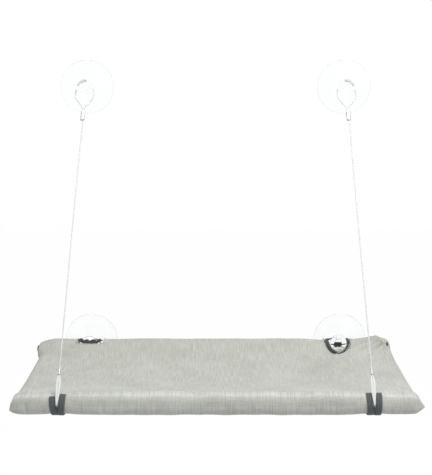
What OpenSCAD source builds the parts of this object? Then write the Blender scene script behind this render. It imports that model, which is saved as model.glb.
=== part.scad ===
// Window mounted cat perch: a padded fabric platform on a tube frame, held at the
// back by elastic loops on two suction cups and at the front by two wire ropes
// that hang from two more suction cups.
// Millimetres. +X is right, -Y is away from the window, +Z is up. The origin is on
// the window pane, in the middle of the four suction cups.

/* [Window pattern] */
// Distance between the left and right suction cups
cup_spacing_x = 386; // [320:1:440]
// Distance between the upper and lower suction cups
cup_spacing_z = 390; // [300:1:460]

/* [Suction cups] */
// Diameter of the cup on the pane
cup_d = 80; // [70:1:90]
// Width of the flat sealing lip
seal_w = 8; // [4:0.5:12]
// Thickness of the lip at its edge
lip_t = 1.2; // [0.8:0.1:1.6]
// Depth of the hollow under the cup
hollow_h = 2.4; // [1:0.1:3]
// Diameter of the boss that carries the neck
boss_d = 26; // [22:1:30]
// Height of the boss above the pane
boss_h = 9.5; // [7:0.5:11]
// Diameter of the neck
neck_d = 8; // [6:0.5:10]
// Diameter of the mushroom head
head_d = 25; // [22:0.5:27]
// Thickness of the mushroom head
head_t = 7.5; // [5:0.5:10]
// Width of the pull tab
tab_w = 7; // [4:0.5:10]
// Thickness of the pull tab
tab_t = 2.2; // [1.5:0.1:3]

/* [Frame] */
// Distance from each lower cup's middle out to the axis of the side tube
side_overhang = 59; // [53:1:75]
// Distance between the axes of the front and back tubes
frame_depth = 272; // [220:1:330]
// Outside diameter of the tubes
tube_d = 12; // [10:0.5:14]
// Wall of the tubes
tube_wall = 1.2; // [0.8:0.1:1.6]
// Radius of the bend in a corner elbow
elbow_bend = 14; // [12:0.5:18]
// Diameter of a corner elbow
elbow_d = 13.8; // [13:0.1:15]
// Straight part of an elbow outside each tube
elbow_leg = 6; // [4:0.5:8]
// Length of an elbow's spigot inside each tube
spigot_l = 22; // [12:1:30]

/* [Padding and cover] */
// Thickness of the foam sleeves
foam_t = 7.6; // [6:0.1:9]
// Thickness of the fabric cover
cloth_t = 1.5; // [1:0.1:2]
// How far the cover's corners stand out beyond the axis of each side tube
corner_overhang = 18; // [16:0.5:28]
// The same half way along its sides
waist_overhang = 8.5; // [8.5:0.5:13]
// Depth of the sag in the middle
sag = 20; // [16:0.5:24]
// Half width of the openings in the cover at the lower cups
notch_half_w = 21; // [20:0.5:24]
// How far these openings reach in front of the back tube
notch_reach = 31; // [30:0.5:36]
// Gap between the cover and the pane
pane_gap = 7; // [6.5:0.5:12]

/* [Closure] */
// Distance from each end of the closing flap to the opening at the lower cup
flap_margin = 7; // [4:1:60]
// Width of the hook and loop strips
strip_w = 20; // [15:1:25]
// Thickness of each hook and loop strip
strip_t = 1.2; // [0.8:0.1:1.6]

/* [Wire ropes] */
// Diameter of the wire rope
wire_d = 1.6; // [1.2:0.1:2]
// Length of the upper ferrule
ferrule_l = 15; // [10:1:20]
// Wall of the ferrules
ferrule_wall = 1.1; // [0.8:0.1:1.5]
// Width of the wire loop round the upper neck
wire_loop_w = 29; // [27:1:34]
// Length of the lower ferrule
crimp_l = 9; // [6:0.5:12]
// Length of the sleeved eye at the lower end
eye_l = 31; // [24:1:36]
// Width of the sleeved eye
eye_w = 6.6; // [6.2:0.1:7]
// Diameter of the sleeve on the eye
sleeve_d = 2; // [1.8:0.1:2.2]
// How much further out each wire is at the front tube than at its cup
wire_splay = 11; // [-10:1:16]

/* [Elastic bands] */
// Width of the elastic band
band_w = 7; // [6:0.5:7.5]
// Thickness of the elastic band
band_t = 2; // [1.5:0.1:2.2]
// Distance between the middles of a front band's two turns
turn_spacing = 14.4; // [14.2:0.1:17]

/* [Hidden] */

left = -1;
right = 1;
$fn = 24;
fine_fn = 48;
overrun = 2;
// Gap between pieces that touch
seat_gap = 0.3;
// Radial gap of a spigot in its tube
spigot_gap = 0.05;
// Radial gap between foam and tube, and between a wire and its ferrule
slip_gap = 0.1;

// Radii
cup_r = cup_d / 2;
boss_r = boss_d / 2;
neck_r = neck_d / 2;
head_r = head_d / 2;
tube_r = tube_d / 2;
elbow_r = elbow_d / 2;
wire_r = wire_d / 2;
sleeve_r = sleeve_d / 2;
foam_r = tube_r + slip_gap + foam_t;
tunnel_r = foam_r + seat_gap;
rail_r = tunnel_r + cloth_t;

// Places of the rails and wires: the back tube hangs just under the lower cups' necks
cup_x = cup_spacing_x / 2;
cup_z = cup_spacing_z / 2;
side_x = cup_x + side_overhang;
wire_front_x = cup_x + wire_splay;
waist_w = 2 * (side_x + waist_overhang);
cover_w = 2 * (side_x + corner_overhang);
flap_l = 2 * (cup_x - notch_half_w - flap_margin);
back_y = -(pane_gap + rail_r);
front_y = back_y - frame_depth;
middle_y = (back_y + front_y) / 2;
rail_z = -cup_z - neck_r - seat_gap - tube_r;
half_depth = frame_depth / 2;

// The neck is long enough to bring the head in front of the back tube
head_gap = 2;
neck_end = -back_y + tube_r + head_gap;
cup_h = neck_end + head_t;

// The tubes end where the elbows' legs begin
elbow_reach = elbow_bend + elbow_leg;
rail_half_l = side_x - elbow_reach;
side_half_l = half_depth - elbow_reach;

// Suction cups

// Height of the cup's dome at radius r
dome_power = 1.3;
function dome_h(r) = lip_t + (boss_h - lip_t) * pow((cup_r - r) / (cup_r - boss_r), dome_power);

dome_steps = 8;
lip_edge_r = cup_r - lip_t / 2;
neck_fillet = neck_r / 2;
head_edge = head_t / 5;

cup_outline = concat(
    [[0, hollow_h], [cup_r - seal_w - hollow_h, hollow_h], [cup_r - seal_w, 0], [lip_edge_r, 0]],
    [[cup_r, lip_t / 2]],
    [for (i = [0 : dome_steps]) let (r = lip_edge_r + (boss_r - lip_edge_r) * i / dome_steps) [r, dome_h(r)]],
    [[boss_r - neck_fillet, boss_h + neck_fillet / 2]],
    [[neck_r + neck_fillet, boss_h + neck_fillet], [neck_r, boss_h + 2 * neck_fillet]],
    [[neck_r, neck_end - neck_fillet], [neck_r + neck_fillet, neck_end]],
    [[head_r - head_edge, neck_end], [head_r, neck_end + head_edge]],
    [for (a = [0 : 15 : 75]) [head_r * cos(a / 2), neck_end + 2 * head_edge + (head_t - 2 * head_edge) * sin(a)]],
    [[0, cup_h]]
);

tab_r = tab_w / 2;
tab_in = cup_r - seal_w;
tab_h = dome_h(cup_r - seal_w);

module suction_cup(side, level) {
    color([0.88, 0.91, 0.92, 0.45])
    translate([side * cup_x, 0, level * cup_z]) rotate([90, 0, 0]) {
        rotate_extrude($fn = fine_fn) polygon(cup_outline);
        pull_tab();
    }
}

// A small tongue at the top of the lip, for peeling the cup off
module pull_tab() {
    translate([-tab_r, tab_in - tab_r, lip_t / 2]) cube([tab_w, seal_w + tab_r, tab_h + tab_t - lip_t / 2]);
    translate([0, cup_r, lip_t / 2]) cylinder(r = tab_r, h = tab_h + tab_t - lip_t / 2);
}

// Wire ropes

// A wire hangs from the upper neck and comes down onto the front of the front rail
hang_y = -neck_end + 2 * wire_r + neck_r;
hang_z = cup_z;
// The eye stands off the cover by the hook of elastic that holds it
hook_t = 1.2;
hook_gap = 0.5;
eye_stand_r = rail_r + seat_gap + 2 * slip_gap + hook_t + hook_gap + sleeve_r;
fall_y = front_y - hang_y;
fall_z = rail_z - hang_z;
fall = sqrt(fall_y * fall_y + fall_z * fall_z);
// Angle of the wire below the horizontal, and of the point where it meets the rail
wire_slope = atan2(-fall_z, -fall_y) - asin(eye_stand_r / fall);
meet_y = front_y - eye_stand_r * sin(wire_slope);
meet_z = rail_z + eye_stand_r * cos(wire_slope);

wire_hidden = crimp_l / 2;
eye_stem = 2;

function unit(v) = v / norm(v);
function hang_at(side) = [side * cup_x, hang_y, hang_z];
function meet_at(side) = [side * wire_front_x, meet_y, meet_z];
function along(side) = unit(meet_at(side) - hang_at(side));
function across(side) = unit([1, 0, 0] - along(side)[0] * along(side));
// The place that is u across a wire and s along it, from the neck
function on_wire(side, u, s) = hang_at(side) + u * across(side) + s * along(side);

wire_l = norm(meet_at(right) - hang_at(right));
eye_start = wire_l - eye_l;
crimp_start = eye_start - eye_stem - crimp_l;
ferrule_start = head_d + neck_r + wire_loop_w / 2 - ferrule_wall;
leg_u = wire_r + slip_gap + ferrule_wall / 4;
loop_top = neck_r / sin(wire_slope) + wire_r + seat_gap + slip_gap;
loop_half = wire_loop_w / 2 - wire_r;
loop_wide_s = head_d / 2 + wire_d;

function bezier(p, t) = let (q = 1 - t)
    q * q * q * p[0] + 3 * q * q * t * p[1] + 3 * q * t * t * p[2] + t * t * t * p[3];

// Half of the loop: out of the ferrule to the widest place, and on over the neck
loop_lower = [
    [leg_u, ferrule_start], [leg_u * 2, ferrule_start - ferrule_l / 2],
    [loop_half, loop_wide_s + ferrule_l], [loop_half, loop_wide_s]
];
loop_upper = [
    [loop_half, loop_wide_s], [loop_half, loop_top / 3],
    [neck_d, -loop_top], [0, -loop_top]
];
loop_steps = 7;
half_loop = concat(
    [for (i = [0 : loop_steps - 1]) bezier(loop_lower, i / loop_steps)],
    [for (i = [0 : loop_steps]) bezier(loop_upper, i / loop_steps)]
);
half_n = len(half_loop);
wire_end = crimp_start + wire_hidden;
straight_steps = 12;

// The rope's centreline as [u, s]: its cut end in the ferrule, the loop, and the long run
wire_line = concat(
    [[-leg_u, ferrule_start + ferrule_l]],
    [for (p = half_loop) [-p[0], p[1]]],
    [for (i = [half_n - 2 : -1 : 0]) half_loop[i]],
    [[leg_u, ferrule_start + ferrule_l]],
    [[leg_u, ferrule_start + ferrule_l + wire_d]],
    [for (i = [1 : straight_steps]) [
        leg_u * max(0, 1 - 3 * i / straight_steps),
        ferrule_start + ferrule_l + (wire_end - ferrule_start - ferrule_l) * i / straight_steps
    ]]
);

// Sweeping a section along a line of places. Each frame is [sideways, outward].
function tangent(line, i, closed) = let (n = len(line))
    closed ? unit(line[(i + 1) % n] - line[(i + n - 1) % n])
           : unit(line[min(i + 1, n - 1)] - line[max(i - 1, 0)]);

function ring_faces(n, k, closed) = [
    for (i = [0 : n - (closed ? 1 : 2)], j = [0 : k - 1])
        let (a = i * k, b = ((i + 1) % n) * k, m = (j + 1) % k)
        each [[a + j, a + m, b + m], [a + j, b + m, b + j]]
];
function end_faces(n, k) = [
    for (j = [1 : k - 2]) each [[0, j + 1, j], [(n - 1) * k, (n - 1) * k + j, (n - 1) * k + j + 1]]
];

// section holds [sideways, outward] offsets; outward[i] points away from the middle of a bend
module sweep(line, outward, section, closed = false) {
    n = len(line);
    k = len(section);
    rings = [
        for (i = [0 : n - 1])
            let (t = tangent(line, i, closed))
            let (side = unit(cross(t, outward[i])), out = cross(side, t))
            each [for (p = section) line[i] + p[0] * side + p[1] * out]
    ];
    polyhedron(rings, concat(ring_faces(n, k, closed), closed ? [] : end_faces(n, k)));
}

function round_section(r, k) = [for (j = [0 : k - 1]) r * [cos(360 * j / k), sin(360 * j / k)]];

module wire_rope(side) {
    line = [for (p = wire_line) on_wire(side, p[0], p[1])];
    flat = cross(along(side), across(side));
    color([0.78, 0.79, 0.78])
    sweep(line, [for (p = line) flat], round_section(wire_r, 8));
}

// Turns a piece made along +Z, with its width along X, onto a wire at place s
module on_wire_axis(side, s) {
    w = along(side);
    u = across(side);
    v = cross(w, u);
    p = on_wire(side, 0, s);
    multmatrix([
        [u[0], v[0], w[0], p[0]],
        [u[1], v[1], w[1], p[1]],
        [u[2], v[2], w[2], p[2]]
    ]) children();
}

ferrule_r = wire_r + slip_gap + ferrule_wall;
crimp_r = sleeve_r + slip_gap + ferrule_wall / 2;

// A double barrel crimped over the rope and its cut end
module upper_ferrule(side) {
    color([0.72, 0.72, 0.72]) on_wire_axis(side, ferrule_start) difference() {
        union() {
            for (u = [-leg_u, leg_u]) translate([u, 0, 0]) cylinder(r = ferrule_r, h = ferrule_l);
            translate([-leg_u, -ferrule_r, 0]) cube([2 * leg_u, 2 * ferrule_r, ferrule_l]);
        }
        for (u = [-leg_u, leg_u])
            translate([u, 0, -overrun]) cylinder(r = wire_r + slip_gap, h = ferrule_l + 2 * overrun);
    }
}

// A short sleeve that joins the rope to the eye
module lower_ferrule(side) {
    color([0.72, 0.72, 0.72]) on_wire_axis(side, crimp_start) difference() {
        cylinder(r = crimp_r, h = crimp_l);
        translate([0, 0, -overrun]) cylinder(r = wire_r + slip_gap, h = crimp_l / 2 + overrun);
        translate([0, 0, crimp_l / 2]) cylinder(r = sleeve_r + slip_gap, h = crimp_l / 2 + overrun);
    }
}

eye_half = eye_w / 2 - sleeve_r;
eye_shoulder = eye_l - 2 * eye_half;

// A long narrow loop in a white sleeve, on a short stem
module wire_eye(side) {
    color([0.93, 0.93, 0.91]) on_wire_axis(side, wire_l) {
        translate([0, 0, -eye_half]) rotate([-90, 0, 0]) half_ring(eye_half);
        translate([0, 0, eye_half - eye_l]) rotate([90, 0, 0]) half_ring(eye_half);
        for (u = [-eye_half, eye_half])
            translate([u, 0, eye_half - eye_l]) cylinder(r = sleeve_r, h = eye_shoulder);
        translate([0, 0, -eye_l - eye_stem - crimp_l / 2 + slip_gap])
            cylinder(r = sleeve_r, h = eye_stem + crimp_l / 2);
    }
}

// Half a ring of sleeve that bulges towards -Y
module half_ring(r) {
    rotate([0, 0, 180]) rotate_extrude(angle = 180) translate([r, 0]) circle(r = sleeve_r, $fn = 16);
}

// Elastic bands

band_in_r = rail_r + seat_gap;
band_out_r = band_in_r + band_t;
bridge_angle = 24;
strap_w = band_w / 2;
hook_w = 2 * (eye_half - sleeve_r) - 2 * seat_gap;
hook_in_r = sleeve_r + hook_gap;
// The middle of the band is a little thinner at each step from the turns to the hook
thinner = band_t / 20;
// The thin end of the strap starts at the eye's end, and its full width and thickness lower
// down, both measured from the rail's top towards the front
strap_top_angle = wire_slope + 2;
shoulder_angle = wire_slope + 16;
lap_angle = 2;
slit_gap = 0.4;

// Part of a ring round the front rail, from one angle to another, both from the top to the front
module front_turn(x, w, r_in, r_out, from, to, sides = fine_fn) {
    translate([x - w / 2, front_y, rail_z]) rotate([90, 0, 90])
        rotate([0, 0, 90 + from]) rotate_extrude(angle = to - from, $fn = sides)
            translate([r_in, 0]) square([r_out - r_in, w]);
}

// The band goes twice round the front rail, joined by a bridge under it, and between the
// turns a strap runs up the front from the bridge and hooks round the end of the wire's eye
module front_band(side) {
    x = side * wire_front_x;
    color([0.27, 0.28, 0.29]) {
        for (turn = [-turn_spacing / 2, turn_spacing / 2])
            front_turn(x + turn, band_w, band_in_r, band_out_r, 0, 360);
        front_turn(x, turn_spacing - band_w + overrun, band_in_r + thinner, band_out_r - thinner,
            180 - bridge_angle, 180);
        front_turn(x, strap_w, band_in_r + 2 * thinner, band_out_r - 2 * thinner, shoulder_angle, 180 - lap_angle);
        front_turn(x, hook_w, band_in_r + 3 * thinner, band_in_r + 3 * thinner + hook_t,
            strap_top_angle, shoulder_angle + lap_angle);
        translate([x - hook_w / 2, meet_y, meet_z]) rotate([0, 90, 0]) difference() {
            cylinder(r = hook_in_r + hook_t, h = hook_w);
            translate([0, 0, -overrun]) cylinder(r = hook_in_r, h = hook_w + 2 * overrun);
        }
    }
}

// The slits through which a front band passes behind the rail
module band_slits(side) {
    for (turn = [-turn_spacing / 2, turn_spacing / 2])
        front_turn(side * wire_front_x + turn, band_w + 2 * slit_gap,
            band_in_r - slit_gap / 2, band_out_r + slit_gap, 180 + bridge_angle / 4, 360, sides = 24);
}

// A rear band lies over the neck, passes each side of the head and cradles the back tube.
// Its places are shares of the way out, towards the front and down to its lowest place.
ring_half_w = 17;
ring_top_y = -(neck_end - band_w / 2 - 3 * head_gap / 4);
ring_front_y = -(neck_end + head_gap);
ring_top_z = neck_r + seat_gap + band_t / 2;
under_angle = 55;
under_r = tube_r + seat_gap + band_t / 2;
ring_low_y = back_y - under_r * cos(under_angle);
ring_low_z = rail_z + cup_z - under_r * sin(under_angle);
route_shares = [
    [0, 0, 0], [0.5, 0.03, 0.04], [0.88, 0.38, 0.22], [1, 0.94, 0.45], [0.83, 1, 0.76], [0.45, 0.6, 0.95]
];
half_route = concat(
    [for (p = route_shares) [
        p[0] * ring_half_w,
        ring_top_y + p[1] * (ring_front_y - ring_top_y),
        ring_top_z + p[2] * (ring_low_z - ring_top_z)
    ]],
    [[0, ring_low_y, ring_low_z]]
);
ring_route = concat(half_route, [for (i = [5 : -1 : 1]) [-half_route[i][0], half_route[i][1], half_route[i][2]]]);
ring_steps = 4;

// The way a rear band faces: up on the neck, and away from the tube's axis lower down
function facing(p) = let (down = (ring_top_z - p[2]) / (ring_top_z - ring_low_z))
    [p[0], p[1] - ring_top_y - down * (back_y - ring_top_y), p[2] - rail_z - cup_z];

// A smooth closed curve through the places of a route
function spline_at(a, b, c, d, t) =
    ((2 * b) + (c - a) * t + (2 * a - 5 * b + 4 * c - d) * t * t + (3 * b - a - 3 * c + d) * t * t * t) / 2;
function smooth_ring(route, steps) = let (n = len(route)) [
    for (i = [0 : n - 1], j = [0 : steps - 1])
        spline_at(route[(i + n - 1) % n], route[i], route[(i + 1) % n], route[(i + 2) % n], j / steps)
];
edge_shares = [[0.5, 0.25], [0.5, -0.25], [0.42, -0.5], [-0.42, -0.5],
               [-0.5, -0.25], [-0.5, 0.25], [-0.42, 0.5], [0.42, 0.5]];
band_section = [for (p = edge_shares) [-p[0] * band_w, p[1] * band_t]];

module rear_band(side) {
    line = smooth_ring(ring_route, ring_steps);
    color([0.27, 0.28, 0.29]) translate([side * cup_x, 0, -cup_z])
        sweep(line, [for (p = line) facing(p)], band_section, closed = true);
}

// Frame

module tube(length) {
    difference() {
        cylinder(r = tube_r, h = length, center = true);
        cylinder(r = tube_r - tube_wall, h = length + 2 * overrun, center = true);
    }
}

module cross_tube(y) {
    color([0.9, 0.9, 0.88]) translate([0, y, rail_z]) rotate([0, 90, 0]) tube(2 * rail_half_l);
}

module side_tube(side) {
    color([0.9, 0.9, 0.88]) translate([side * side_x, middle_y, rail_z]) rotate([90, 0, 0]) tube(2 * side_half_l);
}

// A quarter bend with a leg and a spigot at each end
module elbow(side, end) {
    y = end > 0 ? back_y : front_y;
    color([0.16, 0.16, 0.17])
    translate([side * side_x, y, rail_z])
    to_corner(side, end) {
        translate([-elbow_bend, -elbow_bend, 0])
            rotate_extrude(angle = 90) translate([elbow_bend, 0]) circle(r = elbow_r);
        for (turn = [0, 1]) mirror([turn, -turn, 0]) {
            translate([-elbow_reach, 0, 0]) rotate([0, 90, 0]) cylinder(r = elbow_r, h = elbow_leg);
            translate([-elbow_reach - spigot_l, 0, 0]) rotate([0, 90, 0])
                cylinder(r = tube_r - tube_wall - spigot_gap, h = spigot_l + elbow_leg);
        }
    }
}

// Turns the back right corner into any of the four
module to_corner(side, end) {
    mirror([side < 0 ? 1 : 0, 0, 0]) mirror([0, end < 0 ? 1 : 0, 0]) children();
}

// Foam sleeves

module foam(x, length, y) {
    color([0.86, 0.86, 0.84]) translate([x, y, rail_z]) rotate([0, 90, 0]) difference() {
        cylinder(r = foam_r, h = length, center = true);
        cylinder(r = tube_r + slip_gap, h = length + 2 * overrun, center = true);
    }
}

foam_half_l = rail_half_l - seat_gap;
foam_inner_x = cup_x - notch_half_w - seat_gap;
foam_outer_x = cup_x + notch_half_w + seat_gap;
foam_end_l = foam_half_l - foam_outer_x;
foam_end_x = (foam_half_l + foam_outer_x) / 2;

// Cover

// Sag of the cover at a share of its half width: least over the side tubes
side_drop = rail_r - tube_r - seat_gap - cloth_t;
flat_share = (side_x - 2 * tube_r) / (waist_w / 2);
function drop_at(share) = let (s = min(1, abs(share) / flat_share))
    side_drop + (sag - side_drop) * (1 - s * s * s * s);

// The cloth leaves the rail where its slope meets the sagging middle
function leave_angle(drop) = atan(2 * drop / half_depth);
function sag_z(drop, y) = let (a = leave_angle(drop))
    let (start = half_depth - rail_r * sin(a), slope = tan(a))
    rail_r * cos(a) - slope * (start * start - y * y) / (2 * start);

arc_n = 6;
span_n = 7;
base_n = 4;

// One section of the cover, as [y, z] from the middle of the frame, going round it
function cover_section(drop) = let (a = leave_angle(drop), start = half_depth - rail_r * sin(a)) concat(
    [for (i = [0 : arc_n]) let (b = 180 - (180 + a) * i / arc_n)
        [-half_depth - rail_r * sin(b), rail_r * cos(b)]],
    [for (i = [1 : span_n - 1]) let (y = -start + 2 * start * i / span_n) [y, sag_z(drop, y)]],
    [for (i = [0 : arc_n]) let (b = -a + (180 + a) * i / arc_n)
        [half_depth + rail_r * sin(b), rail_r * cos(b)]],
    [for (i = [1 : base_n - 1]) [half_depth - 2 * half_depth * i / base_n, -rail_r]]
);

// Near its two ends the cover closes to a soft edge at this height
edge_z = -cloth_t;
station_shares = [0, 0.35, 0.6, 0.78, 0.89, 0.935, 0.96, 0.98, 1];
edge_share = 0.955;
least_share = 0.16;
corner_power = 4;
full_half_depth = half_depth + rail_r;

// How much of its height a section keeps, and how much of its depth
function height_share(share) = share <= edge_share ? 1 :
    let (s = (share - edge_share) / (1 - edge_share)) least_share + (1 - least_share) * sqrt(1 - s * s);
function half_width_at(y) = waist_w / 2 + (cover_w - waist_w) / 2 * pow(abs(y) / full_half_depth, corner_power);
function depth_share(share) = 1 - (rail_r / half_depth) / 4 * (1 - height_share(share));

function cover_point(station, p) = let (share = abs(station), y = p[0] * depth_share(share)) [
    station * half_width_at(y), middle_y + y, rail_z + edge_z + (p[1] - edge_z) * height_share(share)
];

stations = concat(
    [for (i = [len(station_shares) - 1 : -1 : 1]) -station_shares[i]],
    station_shares
);
section_n = 2 * (arc_n + 1) + span_n - 1 + base_n - 1;

module cover_body() {
    n = len(stations);
    points = [for (s = stations) let (drop = drop_at(s)) each [for (p = cover_section(drop)) cover_point(s, p)]];
    hubs = [for (s = [stations[0], stations[n - 1]])
        [s * half_width_at(0), middle_y, rail_z + edge_z]];
    first_hub = n * section_n;
    last_ring = (n - 1) * section_n;
    polyhedron(
        concat(points, hubs),
        concat(
            ring_faces(n, section_n, false),
            [for (j = [0 : section_n - 1]) [first_hub, (j + 1) % section_n, j]],
            [for (j = [0 : section_n - 1]) [first_hub + 1, last_ring + j, last_ring + (j + 1) % section_n]]
        )
    );
}

// The tunnels in which the frame lies, with few sides, drawn round the pieces in them
tunnel_fn = 12;
pocket_steps = 4;
function around(r) = r / cos(180 / tunnel_fn);

module rail_tunnel(y) {
    translate([0, y, rail_z]) rotate([0, 90, 0])
        cylinder(r = around(tunnel_r), h = 2 * rail_half_l, center = true, $fn = tunnel_fn);
}

module side_tunnel(side) {
    hull() for (y = [-side_half_l, side_half_l])
        translate([side * side_x, middle_y + y, rail_z]) sphere(r = around(tube_r + seat_gap), $fn = tunnel_fn);
}

// A pocket round an elbow, from one leg's end round the bend to the other's
module corner_pocket(side, end) {
    places = concat(
        [[-elbow_reach, 0, 0], [0, -elbow_reach, 0]],
        [for (a = [0 : 90 / pocket_steps : 90]) elbow_bend * [cos(a) - 1, sin(a) - 1, 0]]
    );
    translate([side * side_x, end > 0 ? back_y : front_y, rail_z])
        to_corner(side, end) hull() for (p = places)
            translate(p) sphere(r = around(around(elbow_r + seat_gap)), $fn = tunnel_fn);
}

// A round ended opening at each lower cup, through which its head and band reach the back tube
module cup_notch(side) {
    height = 2 * rail_r + 2 * overrun;
    translate([side * cup_x, back_y, rail_z]) hull() {
        translate([0, notch_half_w - notch_reach, 0])
            cylinder(r = notch_half_w, h = height, center = true, $fn = 24);
        translate([-notch_half_w, 0, -height / 2])
            cube([2 * notch_half_w, rail_r + overrun, height]);
    }
}

// The slit under the back rail through which the frame goes in
slit_w = 1.6;
slit_y = back_y - rail_r * 3 / 4;

module closing_slit() {
    translate([-flap_l / 2 + strip_w / 2, slit_y - slit_w / 2, rail_z - rail_r - overrun])
        cube([flap_l - strip_w, slit_w, rail_r + overrun - tube_r / 2]);
}

module cover() {
    color([0.78, 0.79, 0.76]) difference() {
        cover_body();
        for (y = [front_y, back_y]) rail_tunnel(y);
        for (side = [left, right]) {
            side_tunnel(side);
            for (end = [-1, 1]) corner_pocket(side, end);
            cup_notch(side);
            band_slits(side);
        }
        closing_slit();
    }
}

// Closure

base_z = rail_z - rail_r;
sewn_w = 8;
strip_y = slit_y - slit_w - strip_w;
flap_low_z = base_z - 2 * strip_t - cloth_t;

// The flap is sewn behind the slit and lies over the two strips in front of it
module closing_flap() {
    sewn_y = slit_y + slit_w;
    color([0.76, 0.77, 0.74]) translate([-flap_l / 2, 0, 0]) rotate([90, 0, 90])
        linear_extrude(height = flap_l) polygon([
            [sewn_y + sewn_w, base_z], [sewn_y, base_z],
            [strip_y + strip_w, base_z - 2 * strip_t], [strip_y - cloth_t, base_z - 2 * strip_t],
            [strip_y - cloth_t, flap_low_z], [strip_y + strip_w, flap_low_z],
            [sewn_y, base_z - cloth_t], [sewn_y + sewn_w, base_z - cloth_t]
        ]);
}

module strip(z) {
    translate([-flap_l / 2, strip_y, z]) cube([flap_l, strip_w, strip_t]);
}

module hook_strip() {
    color([0.86, 0.86, 0.83]) strip(base_z - 2 * strip_t);
}

module loop_strip() {
    color([0.86, 0.86, 0.83]) strip(base_z - strip_t);
}

suction_cup(left, 1);  // suction_cup_upper_left
suction_cup(right, 1);  // suction_cup_upper_right
suction_cup(left, -1);  // suction_cup_lower_left
suction_cup(right, -1);  // suction_cup_lower_right
wire_rope(left);  // wire_rope_left
wire_rope(right);  // wire_rope_right
upper_ferrule(left);  // upper_ferrule_left
upper_ferrule(right);  // upper_ferrule_right
lower_ferrule(left);  // lower_ferrule_left
lower_ferrule(right);  // lower_ferrule_right
wire_eye(left);  // wire_eye_left
wire_eye(right);  // wire_eye_right
front_band(left);  // front_band_left
front_band(right);  // front_band_right
rear_band(left);  // rear_band_left
rear_band(right);  // rear_band_right
cross_tube(front_y);  // front_tube
cross_tube(back_y);  // back_tube
side_tube(left);  // side_tube_left
side_tube(right);  // side_tube_right
elbow(left, -1);  // elbow_front_left
elbow(right, -1);  // elbow_front_right
elbow(left, 1);  // elbow_back_left
elbow(right, 1);  // elbow_back_right
foam(0, 2 * foam_half_l, front_y);  // front_foam
foam(0, 2 * foam_inner_x, back_y);  // back_foam_middle
foam(-foam_end_x, foam_end_l, back_y);  // back_foam_left
foam(foam_end_x, foam_end_l, back_y);  // back_foam_right
cover();
closing_flap();
hook_strip();
loop_strip();
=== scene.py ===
import math

import bmesh
import bpy
import numpy as np
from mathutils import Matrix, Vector


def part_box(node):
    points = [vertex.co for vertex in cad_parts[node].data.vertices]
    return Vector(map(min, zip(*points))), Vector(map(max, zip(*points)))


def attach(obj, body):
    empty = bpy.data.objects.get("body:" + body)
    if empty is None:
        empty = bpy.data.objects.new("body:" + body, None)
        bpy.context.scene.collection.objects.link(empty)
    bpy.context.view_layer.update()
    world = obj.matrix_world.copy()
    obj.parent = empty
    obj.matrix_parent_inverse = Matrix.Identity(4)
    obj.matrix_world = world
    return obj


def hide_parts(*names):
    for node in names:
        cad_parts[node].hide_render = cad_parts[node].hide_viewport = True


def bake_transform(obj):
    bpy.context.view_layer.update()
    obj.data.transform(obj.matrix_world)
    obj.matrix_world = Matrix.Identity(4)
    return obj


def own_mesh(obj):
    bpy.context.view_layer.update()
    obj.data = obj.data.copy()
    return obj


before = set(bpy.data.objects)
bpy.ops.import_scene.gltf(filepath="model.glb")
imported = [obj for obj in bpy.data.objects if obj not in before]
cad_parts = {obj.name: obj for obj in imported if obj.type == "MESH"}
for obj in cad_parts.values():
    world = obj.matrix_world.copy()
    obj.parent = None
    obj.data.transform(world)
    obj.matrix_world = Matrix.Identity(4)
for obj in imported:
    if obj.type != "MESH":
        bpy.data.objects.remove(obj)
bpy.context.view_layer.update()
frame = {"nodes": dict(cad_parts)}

bl_info = {
    "name": "Window cat perch",
    "version": (1, 0, 0),
    "blender": (4, 5, 0),
    "location": "3D View > Sidebar > Perch",
    "description": "Dresses the window perch: linen cover, clear cups, wire ropes and elastic bands",
    "category": "Object",
}

# One millimetre in metres
MM = 0.001
# The photograph's width and height in pixels
IMAGE_SIZE = (432, 475)
# A UV runs this many units a metre
UV_SCALE = 10
SIDES = ((-1, "left"), (1, "right"))


# Places that come from the CAD nodes

def corners(node):
    """The low and the high corner of a node's box."""
    return (np.array(corner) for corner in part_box(node))


def middle(node):
    """The middle of a node's box."""
    low, high = corners(node)
    return (low + high) / 2


def size_of(node):
    """The three sides of a node's box."""
    low, high = corners(node)
    return high - low


def side_name(side):
    """The name of a side from its sign."""
    return "left" if side < 0 else "right"


BACK_Y = middle("back_tube")[1]
FRONT_Y = middle("front_tube")[1]
RAIL_Z = middle("back_tube")[2]
MIDDLE_Y = (BACK_Y + FRONT_Y) / 2
HALF_DEPTH = (BACK_Y - FRONT_Y) / 2
SIDE_X = middle("side_tube_right")[0]
TUBE_R = size_of("back_tube")[2] / 2
CUP_X = middle("suction_cup_lower_right")[0]
CUP_R = size_of("suction_cup_lower_right")[0] / 2
LOWER_CUP_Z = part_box("suction_cup_lower_right")[0][2] + CUP_R
UPPER_CUP_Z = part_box("suction_cup_upper_right")[0][2] + CUP_R
CUP_FRONT_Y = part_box("suction_cup_lower_right")[0][1]
BAND_X = middle("front_band_right")[0]
COVER_R = middle("cover")[2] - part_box("cover")[0][2]
CUP_PLACES = [
    (f"suction_cup_{level}_{side}", sign * CUP_X, z)
    for level, z in (("upper", UPPER_CUP_Z), ("lower", LOWER_CUP_Z))
    for sign, side in SIDES
]


# Colours

def linear(hex_code, alpha=None):
    """An sRGB hex value as linear red, green and blue: c over 12.92 up to 0.04045, and above it
    (c + 0.055) / 1.055 to the power 2.4."""
    value = np.array([int(hex_code[i:i + 2], 16) / 255 for i in (0, 2, 4)])
    rgb = np.where(value <= 0.04045, value / 12.92, ((value + 0.055) / 1.055) ** 2.4)
    return tuple(rgb) if alpha is None else (*rgb, alpha)


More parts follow.
